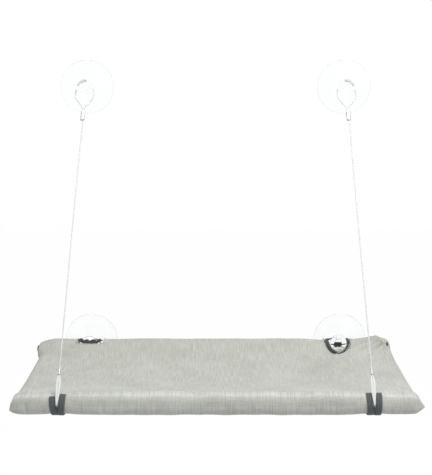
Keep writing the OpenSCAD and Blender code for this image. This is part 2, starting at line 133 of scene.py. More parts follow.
def length_prop(name, description, millimetres, low, high):
    """A length that a user may change, kept in metres."""
    return bpy.props.FloatProperty(
        name=name, description=description, default=millimetres * MM, min=low * MM, max=high * MM,
        precision=4, subtype="DISTANCE", unit="LENGTH",
    )


def colour_prop(name, description, hex_code):
    """A colour that a user may change."""
    return bpy.props.FloatVectorProperty(
        name=name, description=description, default=linear(hex_code),
        size=3, min=0, max=1, subtype="COLOR",
    )


class PerchSizes(bpy.types.PropertyGroup):
    """Sizes of the dressed pieces."""
    sag: length_prop("Sag", "How far the middle of the cover hangs under the rails' crests", 20, 5, 30)
    waist_left: length_prop("Left side", "Reach of the left side half way along", 263, 254, 270)
    waist_right: length_prop("Right side", "Reach of the right side half way along", 265.3, 254, 270)
    corner_left: length_prop("Front left corner", "Reach of the front left corner", 267.2, 262, 280)
    corner_right: length_prop("Front right corner", "Reach of the front right corner", 271, 262, 280)
    back_left: length_prop("Back left corner", "Reach of the back left corner", 273, 262, 278)
    back_right: length_prop("Back right corner", "Reach of the back right corner", 268.5, 262, 278)
    crest_ridge: length_prop("Crest ridge", "Height of the crease on the front rail's crest", 1.3, 0, 2)
    face_flat: length_prop("Face flattening", "How flat the front rail's upper face is", 1.2, 0, 1.6)
    corner_folds: length_prop("Corner folds", "Height of the folds at the back right corner", 6.5, 0, 8)
    notch_half: length_prop("Notch half width", "Half the lower cups' openings' width", 20.5, 18, 21)
    binding: length_prop("Binding", "Radius of the bound edge of those openings", 1.2, 0.5, 2)
    rope: length_prop("Wire rope", "Diameter of the wire rope", 1.6, 1, 2)
    elastic_w: length_prop("Elastic width", "Width of the elastic bands", 7, 5, 8)
    elastic_t: length_prop("Elastic thickness", "Thickness of the elastic bands", 2, 1, 2.4)
    eye_rod: length_prop("Eye sleeve", "Radius of the sleeve on the wires' eyes", 1.85, 1, 2)
    head_lean: length_prop("Head lean", "How far the lower right cup's head leans to the left", 5, 0, 6)


class PerchColours(bpy.types.PropertyGroup):
    """Colours of the finishes."""
    linen: colour_prop("Linen", "The cover's main thread", "cbccc5")
    linen_dark: colour_prop("Linen slub", "The cover's darker slubs", "b3b2a6")
    elastic: colour_prop("Elastic", "The braided elastic", "4b4f51")
    elastic_rib: colour_prop("Elastic ribs", "The raised ribs of the elastic", "6d7173")
    pvc: colour_prop("Clear PVC", "The suction cups", "feffff")
    rope: colour_prop("Wire rope", "The galvanised wire", "d8dad8")
    sleeve: colour_prop("Sleeve", "The white sleeve on the eyes", "e6e6e2")
    tube: colour_prop("Tube", "The powder coat on the tubes", "e6e6e2")
    elbow: colour_prop("Elbow", "The corner elbows", "232427")
    foam: colour_prop("Foam", "The foam sleeves on the rails", "dcdcd6")
    floor: colour_prop("Floor", "The floor under the window", "f4f4f2")


def sizes():
    return bpy.context.scene.perch_sizes


def colours():
    return bpy.context.scene.perch_colours


# Mesh making

def grid_cells(rows, columns, wrap_rows=False, wrap_columns=False):
    """Every cell of a grid of places as its four corners' (row, column), not yet wrapped."""
    i = np.arange(rows if wrap_rows else rows - 1)
    j = np.arange(columns if wrap_columns else columns - 1)
    i, j = (a.ravel() for a in np.meshgrid(i, j, indexing="ij"))
    corner_steps = ((0, 0), (0, 1), (1, 1), (1, 0))
    return np.stack([np.stack([i + down, j + right], 1) for down, right in corner_steps], 1)


def cell_corners(cells, rows, columns):
    """The point number of each cell's corners: row times the column count plus column, both wrapped."""
    return (cells[..., 0] % rows) * columns + cells[..., 1] % columns


def put_mesh(name, points, faces, uv=None):
    """A smooth mesh object at the origin from points and arrays of faces, with a UV for every corner."""
    mesh = bpy.data.meshes.new(name)
    corners = np.concatenate([f.ravel() for f in faces]).astype(np.int32)
    counts = np.concatenate([np.full(len(f), f.shape[1]) for f in faces])
    starts = np.concatenate([[0], np.cumsum(counts)[:-1]]).astype(np.int32)
    mesh.vertices.add(len(points))
    mesh.vertices.foreach_set("co", np.ascontiguousarray(points, dtype=np.float32).ravel())
    mesh.loops.add(len(corners))
    mesh.loops.foreach_set("vertex_index", corners)
    mesh.polygons.add(len(counts))
    mesh.polygons.foreach_set("loop_start", starts)
    mesh.update(calc_edges=True)
    if uv is not None:
        layer = mesh.uv_layers.new(name="UVMap")
        layer.data.foreach_set("uv", np.ascontiguousarray(uv, dtype=np.float32).ravel())
    mesh.validate()
    mesh.shade_smooth()
    piece = bpy.data.objects.new(name, mesh)
    bpy.context.scene.collection.objects.link(piece)
    return piece


def unit(v):
    return v / np.linalg.norm(v, axis=-1, keepdims=True)


def arc_length(path, closed=False):
    """The distance along a path to each of its points, and once round it for a closed one."""
    ends = np.concatenate([path, path[:1]]) if closed else path
    steps = np.linalg.norm(np.diff(ends, axis=0), axis=1)
    return np.concatenate([[0], np.cumsum(steps)])


def resample(path, count, closed=False):
    """The same path with count points at even distances along it."""
    ends = np.concatenate([path, path[:1]]) if closed else path
    s = arc_length(path, closed)
    want = np.linspace(0, s[-1], count + 1)[:-1] if closed else np.linspace(0, s[-1], count)
    return np.stack([np.interp(want, s, ends[:, k]) for k in range(3)], 1)


def smooth_path(points, per_span, closed=False):
    """A Catmull-Rom curve through the points: half of 2b + (c-a)t + (2a-5b+4c-d)t2 + (3b-a-3c+d)t3."""
    p = np.asarray(points, float)
    if closed:
        a, b, c, d = (np.roll(p, 1 - k, axis=0) for k in range(4))
    else:
        padded_p = np.concatenate([2 * p[:1] - p[1:2], p, 2 * p[-1:] - p[-2:-1]])
        a, b, c, d = (padded_p[k:len(padded_p) - 3 + k] for k in range(4))
    t = np.linspace(0, 1, per_span, endpoint=False)[None, :, None]
    a, b, c, d = (q[:, None, :] for q in (a, b, c, d))
    line = 2 * b + (c - a) * t
    curve = (line + (2 * a - 5 * b + 4 * c - d) * t ** 2 + (3 * b - a - 3 * c + d) * t ** 3) / 2
    curve = curve.reshape(-1, 3)
    return curve if closed else np.concatenate([curve, p[-1:]])


def path_frames(path, outward, closed):
    """Sideways and outward unit vectors along a path: sideways is along the path cross outward."""
    if closed:
        along = np.roll(path, -1, axis=0) - np.roll(path, 1, axis=0)
    else:
        along = np.gradient(path, axis=0)
    along = unit(along)
    side = unit(np.cross(along, outward))
    return side, np.cross(side, along)


def sweep(name, path, outward, section, closed=False):
    """A section carried along a path: each point is the path's place plus the section's first
    number along the sideways vector and its second along the outward one. A section may change
    along the path: it is then one row of [sideways, outward] pairs for each place."""
    side, out = path_frames(path, outward, closed)
    section = np.asarray(section, float)
    if section.ndim == 2:
        section = np.broadcast_to(section, (len(path), *section.shape))
    rings = (
        path[:, None, :]
        + section[:, :, 0:1] * side[:, None, :]
        + section[:, :, 1:2] * out[:, None, :]
    )
    rows, columns = rings.shape[:2]
    cells = grid_cells(rows, columns, wrap_rows=closed, wrap_columns=True)
    along = arc_length(path, closed)
    along = along if closed else np.append(along, along[-1])
    edges = np.linalg.norm(np.diff(np.concatenate([section[0], section[0][:1]]), axis=0), axis=1)
    around = np.concatenate([[0], np.cumsum(edges)])
    uvs = [section_uv(cells, along, around)]
    points = rings.reshape(-1, 3)
    faces = [cell_corners(cells, rows, columns)]
    if not closed:
        points = np.concatenate([points, path[:1], path[-1:]])
        j = np.arange(columns)
        k = (j + 1) % columns
        hub = rows * columns
        start = np.stack([np.full(columns, hub), k, j], 1)
        end = np.stack([np.full(columns, hub + 1), (rows - 1) * columns + j, (rows - 1) * columns + k], 1)
        faces.append(np.concatenate([start, end]))
        uvs.append(np.zeros((len(faces[-1]) * 3, 2)))
    return put_mesh(name, points, faces, np.concatenate(uvs))


def lathe(name, profile, steps, place, swell):
    """A profile of (radius, height) turned about the pane's normal: x = r cos a, z = r sin a, and
    height towards the room. It starts and ends on the axis. swell(a, r, h) gives how far the radius
    and the height grow at an angle."""
    a = np.linspace(0, 2 * math.pi, steps, endpoint=False)[:, None]
    r = np.broadcast_to(profile[None, 1:-1, 0], (steps, len(profile) - 2))
    h = np.broadcast_to(profile[None, 1:-1, 1], r.shape)
    grow, lift = swell(a, r, h)
    r = r + grow
    h = h + lift
    x, y, z = place
    ring = np.stack([x + r * np.cos(a), np.full_like(r, y) - h, z + r * np.sin(a)], -1)
    rows, columns = ring.shape[:2]
    cells = grid_cells(rows, columns, wrap_rows=True)
    ends = [[x, y - profile[0, 1], z], [x, y - profile[-1, 1], z]]
    points = np.concatenate([ring.reshape(-1, 3), ends])
    hub = rows * columns
    i = np.arange(rows)
    k = (i + 1) % rows
    first = np.stack([np.full(rows, hub), i * columns, k * columns], 1)
    last = np.stack([np.full(rows, hub + 1), k * columns + columns - 1, i * columns + columns - 1], 1)
    piece = put_mesh(name, points, [cell_corners(cells, rows, columns), np.concatenate([first, last])])
    point_outwards(piece)
    return piece


def point_outwards(piece):
    """Merges a shell's doubles and turns its faces outwards."""
    shell = bmesh.new()
    shell.from_mesh(piece.data)
    bmesh.ops.remove_doubles(shell, verts=shell.verts, dist=1e-6)
    bmesh.ops.recalc_face_normals(shell, faces=shell.faces)
    shell.to_mesh(piece.data)
    shell.free()


def circle(radius, count):
    """A round section, as [sideways, outward] places."""
    a = np.linspace(0, 2 * math.pi, count, endpoint=False)
    return radius * np.stack([np.cos(a), np.sin(a)], 1)


def rounded_strip(width, thick):
    """A flat band's section: a rectangle with half round edges, as [sideways, outward] places."""
    r = thick / 2
    a = np.linspace(-math.pi / 2, math.pi / 2, 6)
    right = np.stack([width / 2 - r + r * np.cos(a), r * np.sin(a)], 1)
    left = np.stack([-width / 2 + r - r * np.cos(a), -r * np.sin(a)], 1)
    flat = np.linspace(1, -1, 14)[1:-1, None] * [width / 2 - r, 0]
    return np.concatenate([right, flat + [0, r], left, -flat - [0, r]])


def section_uv(cells, across, along):
    """The UV of every cell's corners: the way across the piece, then the way along its section."""
    return np.stack([across[cells[..., 0]], along[cells[..., 1]]], -1).reshape(-1, 2) * UV_SCALE


def dress(piece, material, slot_name, body, *nodes):
    """Gives a piece its material, its body and the CAD nodes it stands for. The slot name is not used. A
    piece joined from finished parts, with no material named, keeps its own materials."""
    if material is not None:
        piece.data.materials.clear()
        piece.data.materials.append(material)
    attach(piece, body)
    if nodes:
        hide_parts(*nodes)


# Materials

def add_node(tree, kind, settings=None, **links):
    """One shader node. Settings go to its inputs by name or number, or to its own fields. Links are
    (node, output) for an input's name, or for its number after the letters in."""
    node = tree.nodes.new(kind)
    for key, value in (settings or {}).items():
        if isinstance(key, int) or key in node.inputs:
            node.inputs[key].default_value = value
        else:
            setattr(node, key, value)
    for key, (source, output) in links.items():
        numbered = key.startswith("in") and key[2:].isdigit()
        socket = node.inputs[int(key[2:])] if numbered else node.inputs[key]
        tree.links.new(source.outputs[output], socket)
    return node


def new_material(name):
    """A material with a lone Principled shader, and its tree and shader."""
    material = bpy.data.materials.new(name)
    material.use_nodes = True
    tree = material.node_tree
    tree.nodes.clear()
    out = tree.nodes.new("ShaderNodeOutputMaterial")
    shader = tree.nodes.new("ShaderNodeBsdfPrincipled")
    tree.links.new(shader.outputs[0], out.inputs[0])
    return material, tree, shader


def ramp(tree, source, output, stops):
    """A colour ramp from (place, colour) stops."""
    node = tree.nodes.new("ShaderNodeValToRGB")
    band = node.color_ramp
    while len(band.elements) < len(stops):
        band.elements.new(0.5)
    for element, (place, colour) in zip(band.elements, stops):
        element.position = place
        element.color = (*colour[:3], 1)
    tree.links.new(source.outputs[output], node.inputs[0])
    return node


def scaled(tree, coordinates, output, scale):
    """Coordinates times a scale on each axis."""
    return add_node(tree, "ShaderNodeMapping", {"Scale": scale}, Vector=(coordinates, output))


def maths(tree, operation, a, b=None, value=0.5):
    """One Math node of one or two inputs."""
    node = add_node(tree, "ShaderNodeMath", {"operation": operation, 1: value}, in0=a)
    if b is not None:
        tree.links.new(b[0].outputs[b[1]], node.inputs[1])
    return node


def noise(tree, source, output, stretch, detail, roughness=0.5):
    """A noise texture in coordinates stretched on each axis."""
    return add_node(tree, "ShaderNodeTexNoise", {
        "Scale": 1, "Detail": detail, "Roughness": roughness,
    }, Vector=(scaled(tree, source, output, stretch), 0))


def stripes(tree, source, axis, scale, **more):
    """Parallel waves along one axis of the UVs."""
    return add_node(tree, "ShaderNodeTexWave", {
        "wave_type": "BANDS", "bands_direction": axis, "Scale": scale, **more,
    }, Vector=(source, "UV"))


def mixed(tree, factor, first, second):
    """Two values mixed by a factor."""
    settings = {"data_type": "FLOAT", "Factor": factor}
    return add_node(tree, "ShaderNodeMix", settings, in2=first, in3=second)


def tinted(tree, first, second):
    """One colour times another."""
    return add_node(tree, "ShaderNodeMix", {
        "data_type": "RGBA", "blend_type": "MULTIPLY", "Factor": 1,
    }, in6=first, in7=second)


def relief(tree, shader, source, strength, depth):
    """A bump from a texture's height on a shader's normal."""
    bump = add_node(tree, "ShaderNodeBump", {"Strength": strength, "Distance": depth}, Height=(source, 0))
    tree.links.new(bump.outputs[0], shader.inputs["Normal"])


def seen_directly(tree):
    """1 where the camera sees a place, straight, mirrored or through something clear, and 0 elsewhere."""
    rays = add_node(tree, "ShaderNodeLightPath")
    seen = maths(tree, "MAXIMUM", (rays, "Is Camera Ray"), (rays, "Is Transmission Ray"))
    return maths(tree, "MAXIMUM", (seen, 0), (rays, "Is Glossy Ray"))


def set_inputs(node, values):
    """Sets a node's inputs by name."""
    for key, value in values.items():
        node.inputs[key].default_value = value


def shade(colour, factor=1.0):
    """A colour times a factor."""
    return tuple(np.array(colour) * factor)


def grained(name, kind, texture, stops, bump, surface):
    """A material of one texture in object coordinates: a ramp turns it into the colour, bump is its
    strength and depth as relief, and surface holds the shader's other values."""
    material, tree, shader = new_material(name)
    place = add_node(tree, "ShaderNodeTexCoord")
    grain = add_node(tree, kind, texture, Vector=(place, "Object"))
    tone = ramp(tree, grain, 0, stops)
    tree.links.new(tone.outputs[0], shader.inputs["Base Color"])
    if bump:
        relief(tree, shader, grain, *bump)
    set_inputs(shader, surface)
    return material


def linen_canvas():
    """Linen look polyester canvas, plain woven from uneven yarns, which gives long thin slubs from
    front to back, shorter ones across, and a dry, slightly fuzzy face. UV runs 10 units a metre."""
    c = colours()
    material, tree, shader = new_material("linen_canvas")
    uv = add_node(tree, "ShaderNodeTexCoord")
    # Long slubs: 1.6 mm wide and about 30 mm long, along the second UV axis
    long_slub = noise(tree, uv, "UV", (62, 3.2, 1), 3, 0.6)
    # Short slubs across them, 1.4 mm wide and about 12 mm long
    cross_slub = noise(tree, uv, "UV", (8, 70, 1), 2, 0.6)
    # Uneven dyeing, patches about 60 mm across
    patch = noise(tree, uv, "UV", (1.6, 1.6, 1), 2)
    # Yarns 0.9 mm wide and 1.8 mm apart, coarser than real ones so that the weave shows close up
    warp, weft = (stripes(tree, uv, axis, 17.7, Distortion=0.6, Detail=1) for axis in "XY")
    weave = maths(tree, "MULTIPLY", (warp, "Fac"), (weft, "Fac"))
    slubs = mixed(tree, 0.35, (long_slub, 0), (cross_slub, 0))
    mottled = mixed(tree, 0.22, (slubs, 0), (patch, 0))
    yarn = mixed(tree, 0.16, (mottled, 0), (weave, 0))
    dark, plain = np.array(c.linen_dark), np.array(c.linen)
    colour = ramp(tree, yarn, 0, [
        (0.36, shade(dark, 0.96)), (0.46, shade(0.35 * dark + 0.65 * plain)),
        (0.54, shade(plain)), (0.65, shade(plain, 1.13)),
    ])
    # A painted highlight along the front rail's crest, 38 mm to 46 mm along the section: the colour is
    # made paler there
    white, highlight_tint = (1, 1, 1), (1.09, 1.09, 1.1)
    axes = add_node(tree, "ShaderNodeSeparateXYZ", None, in0=(uv, "UV"))
    crest_highlight = ramp(tree, axes, "Y", [(0.375, white), (0.395, highlight_tint), (0.43, highlight_tint), (0.465, white)])
    drawn = tinted(tree, (colour, 0), (crest_highlight, 0))
    # Painted light and shade from the front rail, 45 mm along, to the back rail, 315 mm along: a touch
    # paler just behind the front rail and a touch darker towards the back, as the lamp's light falls off
    far = add_node(tree, "ShaderNodeSeparateXYZ", None, in0=(scaled(tree, uv, "UV", (0.25, 0.25, 1)), 0))
    falloff_shade = ramp(tree, far, "Y", [
        (0.09, white), (0.114, (1.05, 1.05, 1.06)), (0.2, (1.03, 1.03, 1.04)), (0.33, white),
        (0.78, (0.965, 0.965, 0.955)),
    ])
    lit_and_shaded = tinted(tree, (drawn, 2), (falloff_shade, 0))
    tree.links.new(lit_and_shaded.outputs[2], shader.inputs["Base Color"])
    relief(tree, shader, maths(tree, "ADD", (weave, 0), (slubs, 0)), 0.35, 0.6 * MM)
    set_inputs(shader, {
        "Roughness": 0.92, "Specular IOR Level": 0.25, "Sheen Weight": 0.12, "Sheen Roughness": 0.5,
    })
    return material


def braided_elastic(name="braided_elastic", tone=1.0):
    """Braided elastic, rubber cores under a polyester braid, which gives fine ribs along the band
    and a dull dark face that is paler on the ribs. UV runs along the band, then round it. Below 1,
    tone darkens the whole face as painted shade, for the run that crosses the front of the head."""
    c = colours()
    material, tree, shader = new_material(name)
    uv = add_node(tree, "ShaderNodeTexCoord")
    # Ribs 1 mm wide and 2 mm apart across the band
    ribs = stripes(tree, uv, "Y", 15.9, Distortion=0.4)
    # Braid stitches 1.5 mm long along it
    stitch = noise(tree, uv, "UV", (66, 90, 1), 2)
    mix = mixed(tree, 0.45, (ribs, "Fac"), (stitch, 0))
    # Below 1, tone darkens the face: painted shade
    dark, pale = np.array(c.elastic) * tone, np.array(c.elastic_rib) * tone
    colour = ramp(tree, mix, 0, [(0.2, shade(dark, 0.8)), (0.5, shade(dark)), (0.85, shade(pale))])
    tree.links.new(colour.outputs[0], shader.inputs["Base Color"])
    relief(tree, shader, mix, 0.5, 0.4 * MM)
    set_inputs(shader, {"Roughness": 0.85, "Sheen Weight": 0.1})
    return material


def clear_pvc():
    """Soft clear PVC, injection moulded: water clear and glossy with faint flow marks. Its real IOR
    is 1.53. It is set lower here, because that value draws the heads' edges as dark rings."""
    pvc = colours().pvc
    return grained(
        "clear_pvc", "ShaderNodeTexNoise", {"Scale": 60, "Detail": 2},
        [(0.3, shade(pvc, 0.99)), (0.7, shade(pvc))], (0.08, 1 * MM),
        {"Transmission Weight": 1, "IOR": 1.36, "Roughness": 0.06},
    )


def galvanised_rope():
    """Galvanised steel wire rope: thin twisted wires of bright zinc with spangle about 1 mm across."""
    rope = colours().rope
    return grained(
        "galvanised_rope", "ShaderNodeTexNoise", {"Scale": 900, "Detail": 2},
        [(0.3, shade(rope, 0.85)), (0.7, shade(rope))], None, {"Metallic": 0.3, "Roughness": 0.5},
    )


def swaged_aluminium():
    """Aluminium ferrule, pressed on: soft grey metal with fine die marks round it."""
    material, tree, shader = new_material("swaged_aluminium")
    place = add_node(tree, "ShaderNodeTexCoord")
    marks = noise(tree, place, "Object", (300, 300, 1400), 3)
    tone = ramp(tree, marks, 0, [(0.3, linear("aeb0af")), (0.7, linear("cdcecc"))])
    tree.links.new(tone.outputs[0], shader.inputs["Base Color"])
    relief(tree, shader, marks, 0.25, 0.2 * MM)
    set_inputs(shader, {"Metallic": 0.85, "Roughness": 0.4})
    return material


def white_sleeve():
    """Extruded white PVC sleeve: smooth, half glossy, very slightly uneven along its length."""
    sleeve = colours().sleeve
    return grained(
        "white_sleeve", "ShaderNodeTexNoise", {"Scale": 180, "Detail": 2},
        [(0.3, shade(sleeve, 0.95)), (0.7, shade(sleeve))], (0.12, 0.4 * MM), {"Roughness": 0.35},
    )


def powder_coat():
    """Powder coated steel tube: an off white sprayed and baked coat, with an orange peel about
    1.2 mm across."""
    tube = colours().tube
    return grained(
        "powder_coat", "ShaderNodeTexNoise", {"Scale": 800, "Detail": 2},
        [(0.35, shade(tube, 0.96)), (0.65, shade(tube))], (0.15, 0.2 * MM), {"Roughness": 0.4},
    )


def black_nylon():
    """Injection moulded black nylon elbow, with the fine spark eroded grain of its mould."""
    elbow = colours().elbow
    return grained(
        "black_nylon", "ShaderNodeTexNoise", {"Scale": 2200, "Detail": 2},
        [(0.35, shade(elbow, 0.85)), (0.65, shade(elbow))], (0.3, 0.1 * MM), {"Roughness": 0.55},
    )


def closed_foam():
    """Extruded polyethylene foam sleeve: pale, matt, with cells about 1.5 mm across."""
    foam = colours().foam
    return grained(
        "closed_foam", "ShaderNodeTexVoronoi", {"Scale": 650},
        [(0.0, shade(foam, 0.85)), (0.5, shade(foam))], (0.4, 0.4 * MM), {"Roughness": 0.95},
    )


def nylon_pile(name, scale, hex_code):
    """Woven nylon fastener tape: rows of hooks or a brushed loop pile, drawn as a coarse nap."""
    nylon = linear(hex_code)
    return grained(
        name, "ShaderNodeTexVoronoi", {"Scale": scale},
        [(0.0, shade(nylon)), (0.7, shade(nylon, 0.8))], (0.6, 0.5 * MM), {"Roughness": 0.9},
    )


def lit_floor():
    """Pale painted floor: nearly white where the camera sees it, with a little of its own shading."""
    material, tree, shader = new_material("pale_floor")
    shader.inputs["Base Color"].default_value = (*colours().floor, 1)
    shader.inputs["Roughness"].default_value = 0.9
    out = next(n for n in tree.nodes if n.type == "OUTPUT_MATERIAL")
    share = maths(tree, "MULTIPLY", (seen_directly(tree), 0), value=0.93)
    glow = add_node(tree, "ShaderNodeEmission", {"Color": (1, 1, 1, 1), "Strength": 1.03})
    mix = add_node(tree, "ShaderNodeMixShader", None, Fac=(share, 0), in1=(shader, 0), in2=(glow, 0))
    tree.links.new(mix.outputs[0], out.inputs[0])
    return material


# The cover

# The openings at the lower cups: middle across, how far the straight sides and then the round
# end reach in front of the back rail's axis, and how far the loose cloth dips at the end
NOTCHES = {
    "left": (-CUP_X + 1.6 * MM, 12.2 * MM, 18 * MM, -5.2 * MM),
    "right": (CUP_X - 6.0 * MM, 12 * MM, 19.3 * MM, 10.5 * MM),
}


def drop_at(share):
    """How far the cover sags at a share of its half width: most in the middle, and less towards the
    side tubes by the fourth power."""
    side_drop = COVER_R - TUBE_R - 1.8 * MM
    flat = (SIDE_X - 2 * TUBE_R) / sizes().waist_left
    s = np.minimum(1, np.abs(share) / flat)
    return side_drop + (sizes().sag - side_drop) * (1 - s ** 4)


def half_width_at(y, side):
    """Half the cover's width on one side, at a distance from its middle: the waist plus a cubic to
    the front corner, and a smooth step to the back corner."""
    s = sizes()
    full = HALF_DEPTH + COVER_R
    back = np.where(side < 0, s.back_left, s.back_right)
    waist = np.where(side < 0, s.waist_left, s.waist_right)
    corner = np.where(side < 0, s.corner_left, s.corner_right)
    front_part = (corner - waist) * (np.clip(-y, 0, None) / full) ** 3
    back_part = (back - waist) * ease(y / HALF_DEPTH, np.where(side < 0, 0.55, 0.82), 0.98)
    return waist + front_part + back_part


def sag_height(drop, y):
    """Height over the rails' axis of cloth that leaves both rails on a slope and hangs in a parabola."""
    a = np.arctan(2 * drop / HALF_DEPTH)
    start = HALF_DEPTH - COVER_R * np.sin(a)
    return COVER_R * np.cos(a) - np.tan(a) * (start ** 2 - y ** 2) / (2 * start)


def bump_at(value, place, width):
    """A bell curve: e to the minus square of the distance over the width."""
    return np.exp(-((value - place) / width) ** 2)


def ease(value, low, high):
    """A smooth step from 0 at low to 1 at high: 3t2 - 2t3."""
    t = np.clip((value - low) / (high - low), 0, 1)
    return t * t * (3 - 2 * t)


def slow_waves(u, v, seed, count, longest):
    """A sum of sine waves in random directions, none longer than longest, each with an amplitude of
    1 over the count's root."""
    rng = np.random.default_rng(seed)
    angles = rng.uniform(0, math.pi, count)
    waves = rng.uniform(0.35, 1, count)
    phases = rng.uniform(0, 6.28, count)
    total = np.zeros_like(u)
    for angle, wave, phase in zip(angles, waves, phases):
        run = u * math.cos(angle) + v * math.sin(angle)
        total += np.sin(run * 2 * math.pi / (wave * longest) + phase)
    return total / math.sqrt(count)


def fan_folds(x, y, corner, first, last, pitch, reach, height):
    """Folds that fan out of a corner: a sharpened cosine of the angle about it, fading with distance."""
    dx, dy = x - corner[0], y - corner[1]
    d = np.hypot(dx, dy)
    angle = np.degrees(np.arctan2(-dy, -dx * np.sign(corner[0])))
    swing = angle + 14 * np.sin(d / reach * 1.6)
    ridge = np.abs(np.cos(np.radians(swing) * 180 / pitch)) ** 1.6 - 0.45
    window = ease(angle, first - 6, first + 8) * (1 - ease(angle, last - 10, last + 8))
    fade = ease(d, 4 * MM, 20 * MM) * np.exp(-(d / reach) ** 2)
    return height * ridge * window * fade


def cloth_folds(x, y):
    """Height that tension, folds and the pulled edges at the cups add to the cover's top, where
    x runs across and y is measured from the middle of the frame, towards the pane."""
    s = sizes()
    back, front = HALF_DEPTH, -HALF_DEPTH
    z = fan_folds(x, y, (SIDE_X + 11 * MM, back - 1 * MM), -8, 84, 20, 80 * MM, 1.3 * s.corner_folds)
    # The back rail's crest, lower near the cups, which it meets in the fold, and fuller over the
    # right elbow
    near_cup = bump_at(np.abs(x), CUP_X, 52 * MM)
    crest = 0.8 * MM * (1 - near_cup) + 2.4 * MM * bump_at(x, 247 * MM, 15 * MM)
    z += crest * bump_at(y, back, 12 * MM)
    z += fan_folds(x, y, (-SIDE_X - 12 * MM, back + 4 * MM), 5, 60, 24, 60 * MM, 0.35 * s.corner_folds)
    z += fan_folds(x, y, (-SIDE_X - 8 * MM, front - 2 * MM), -60, -5, 26, 55 * MM, 0.3 * s.corner_folds)
    # A soft pleat from the right band to the right front corner
    pleat_y = front + 6 * MM - 0.12 * (x - BAND_X)
    pleat = 1.3 * MM * bump_at(y, pleat_y, 3.4 * MM) * ease(x, BAND_X - 4 * MM, BAND_X + 14 * MM)
    z += pleat * (1 - ease(x, SIDE_X - 6 * MM, SIDE_X + 8 * MM))
    # Cloth drawn by the ends of the eyes
    for side in (-1, 1):
        near = np.hypot(x - side * BAND_X, (y - front - 14 * MM) * 0.7)
        z -= 1.0 * MM * np.exp(-(near / (16 * MM)) ** 2)
    # The edge of each opening: pressed down by the loop at the right, bunched up at the left
    for centre, straight, round_end, dip in NOTCHES.values():
        width = (26 if dip > 0 else 32) * MM
        z -= dip * bump_at(x, centre, width) * bump_at(y, back - straight - round_end, 22 * MM)
    # Slow unevenness of the pad
    z += 0.45 * MM * slow_waves(x, y, 7, 9, 95 * MM)
    return z


def tuck(b):
    """A bell about 165 degrees round the front rail, where cover and bands are drawn in under it."""
    return bump_at(b, 165, 38)


def rail_profile(b, x):
    """Radius of the front rail's cover at an angle in degrees from its top towards the front: a
    circle with a crease on the crest, drawn flat from there to a shoulder at 36 degrees and again
    below it, squeezed under the elastic bands and tucked in behind the left ear."""
    s = sizes()
    r = COVER_R + s.crest_ridge * bump_at(b, 1 + 2.5 * np.sin(x / (41 * MM)), 6)
    r = r - s.face_flat * np.sin(math.pi * np.clip((b - 4) / 32, 0, 1)) ** 2
    r = r - 1.7 * s.face_flat * np.sin(math.pi * np.clip((b - 36) / 96, 0, 1)) ** 2
    r = r + 0.3 * MM * slow_waves(x, b / 60 * 30 * MM, 21, 7, 70 * MM) * ease(b, -10, 20)
    r = r - 1.8 * MM * bump_at(x, -249 * MM, 5 * MM) * bump_at(b, 95, 38)
    r = r - (1.1 + 0.7 * ease(np.abs(x), 150 * MM, 210 * MM)) * MM * bump_at(b, 160, 34)
    for side in (-1, 1):
        squeeze = bump_at(x, side * BAND_X, 15 * MM)
        drawn_in = COVER_R - 0.45 * MM - 2.4 * MM * tuck(b)
        r = r - (r - drawn_in) * np.clip(1.5 * squeeze, 0, 1)
    return r


def rail_arc(sign, b, r):
    """Places round a rail, sign -1 for the front one, as [y, z, whether on top]. The angle is in
    degrees from the top outwards: y = HALF_DEPTH + r sin b and z = r cos b."""
    b = np.radians(b)
    return np.stack([sign * (HALF_DEPTH + r * np.sin(b)), r * np.cos(b), np.cos(b) > 0], -1)


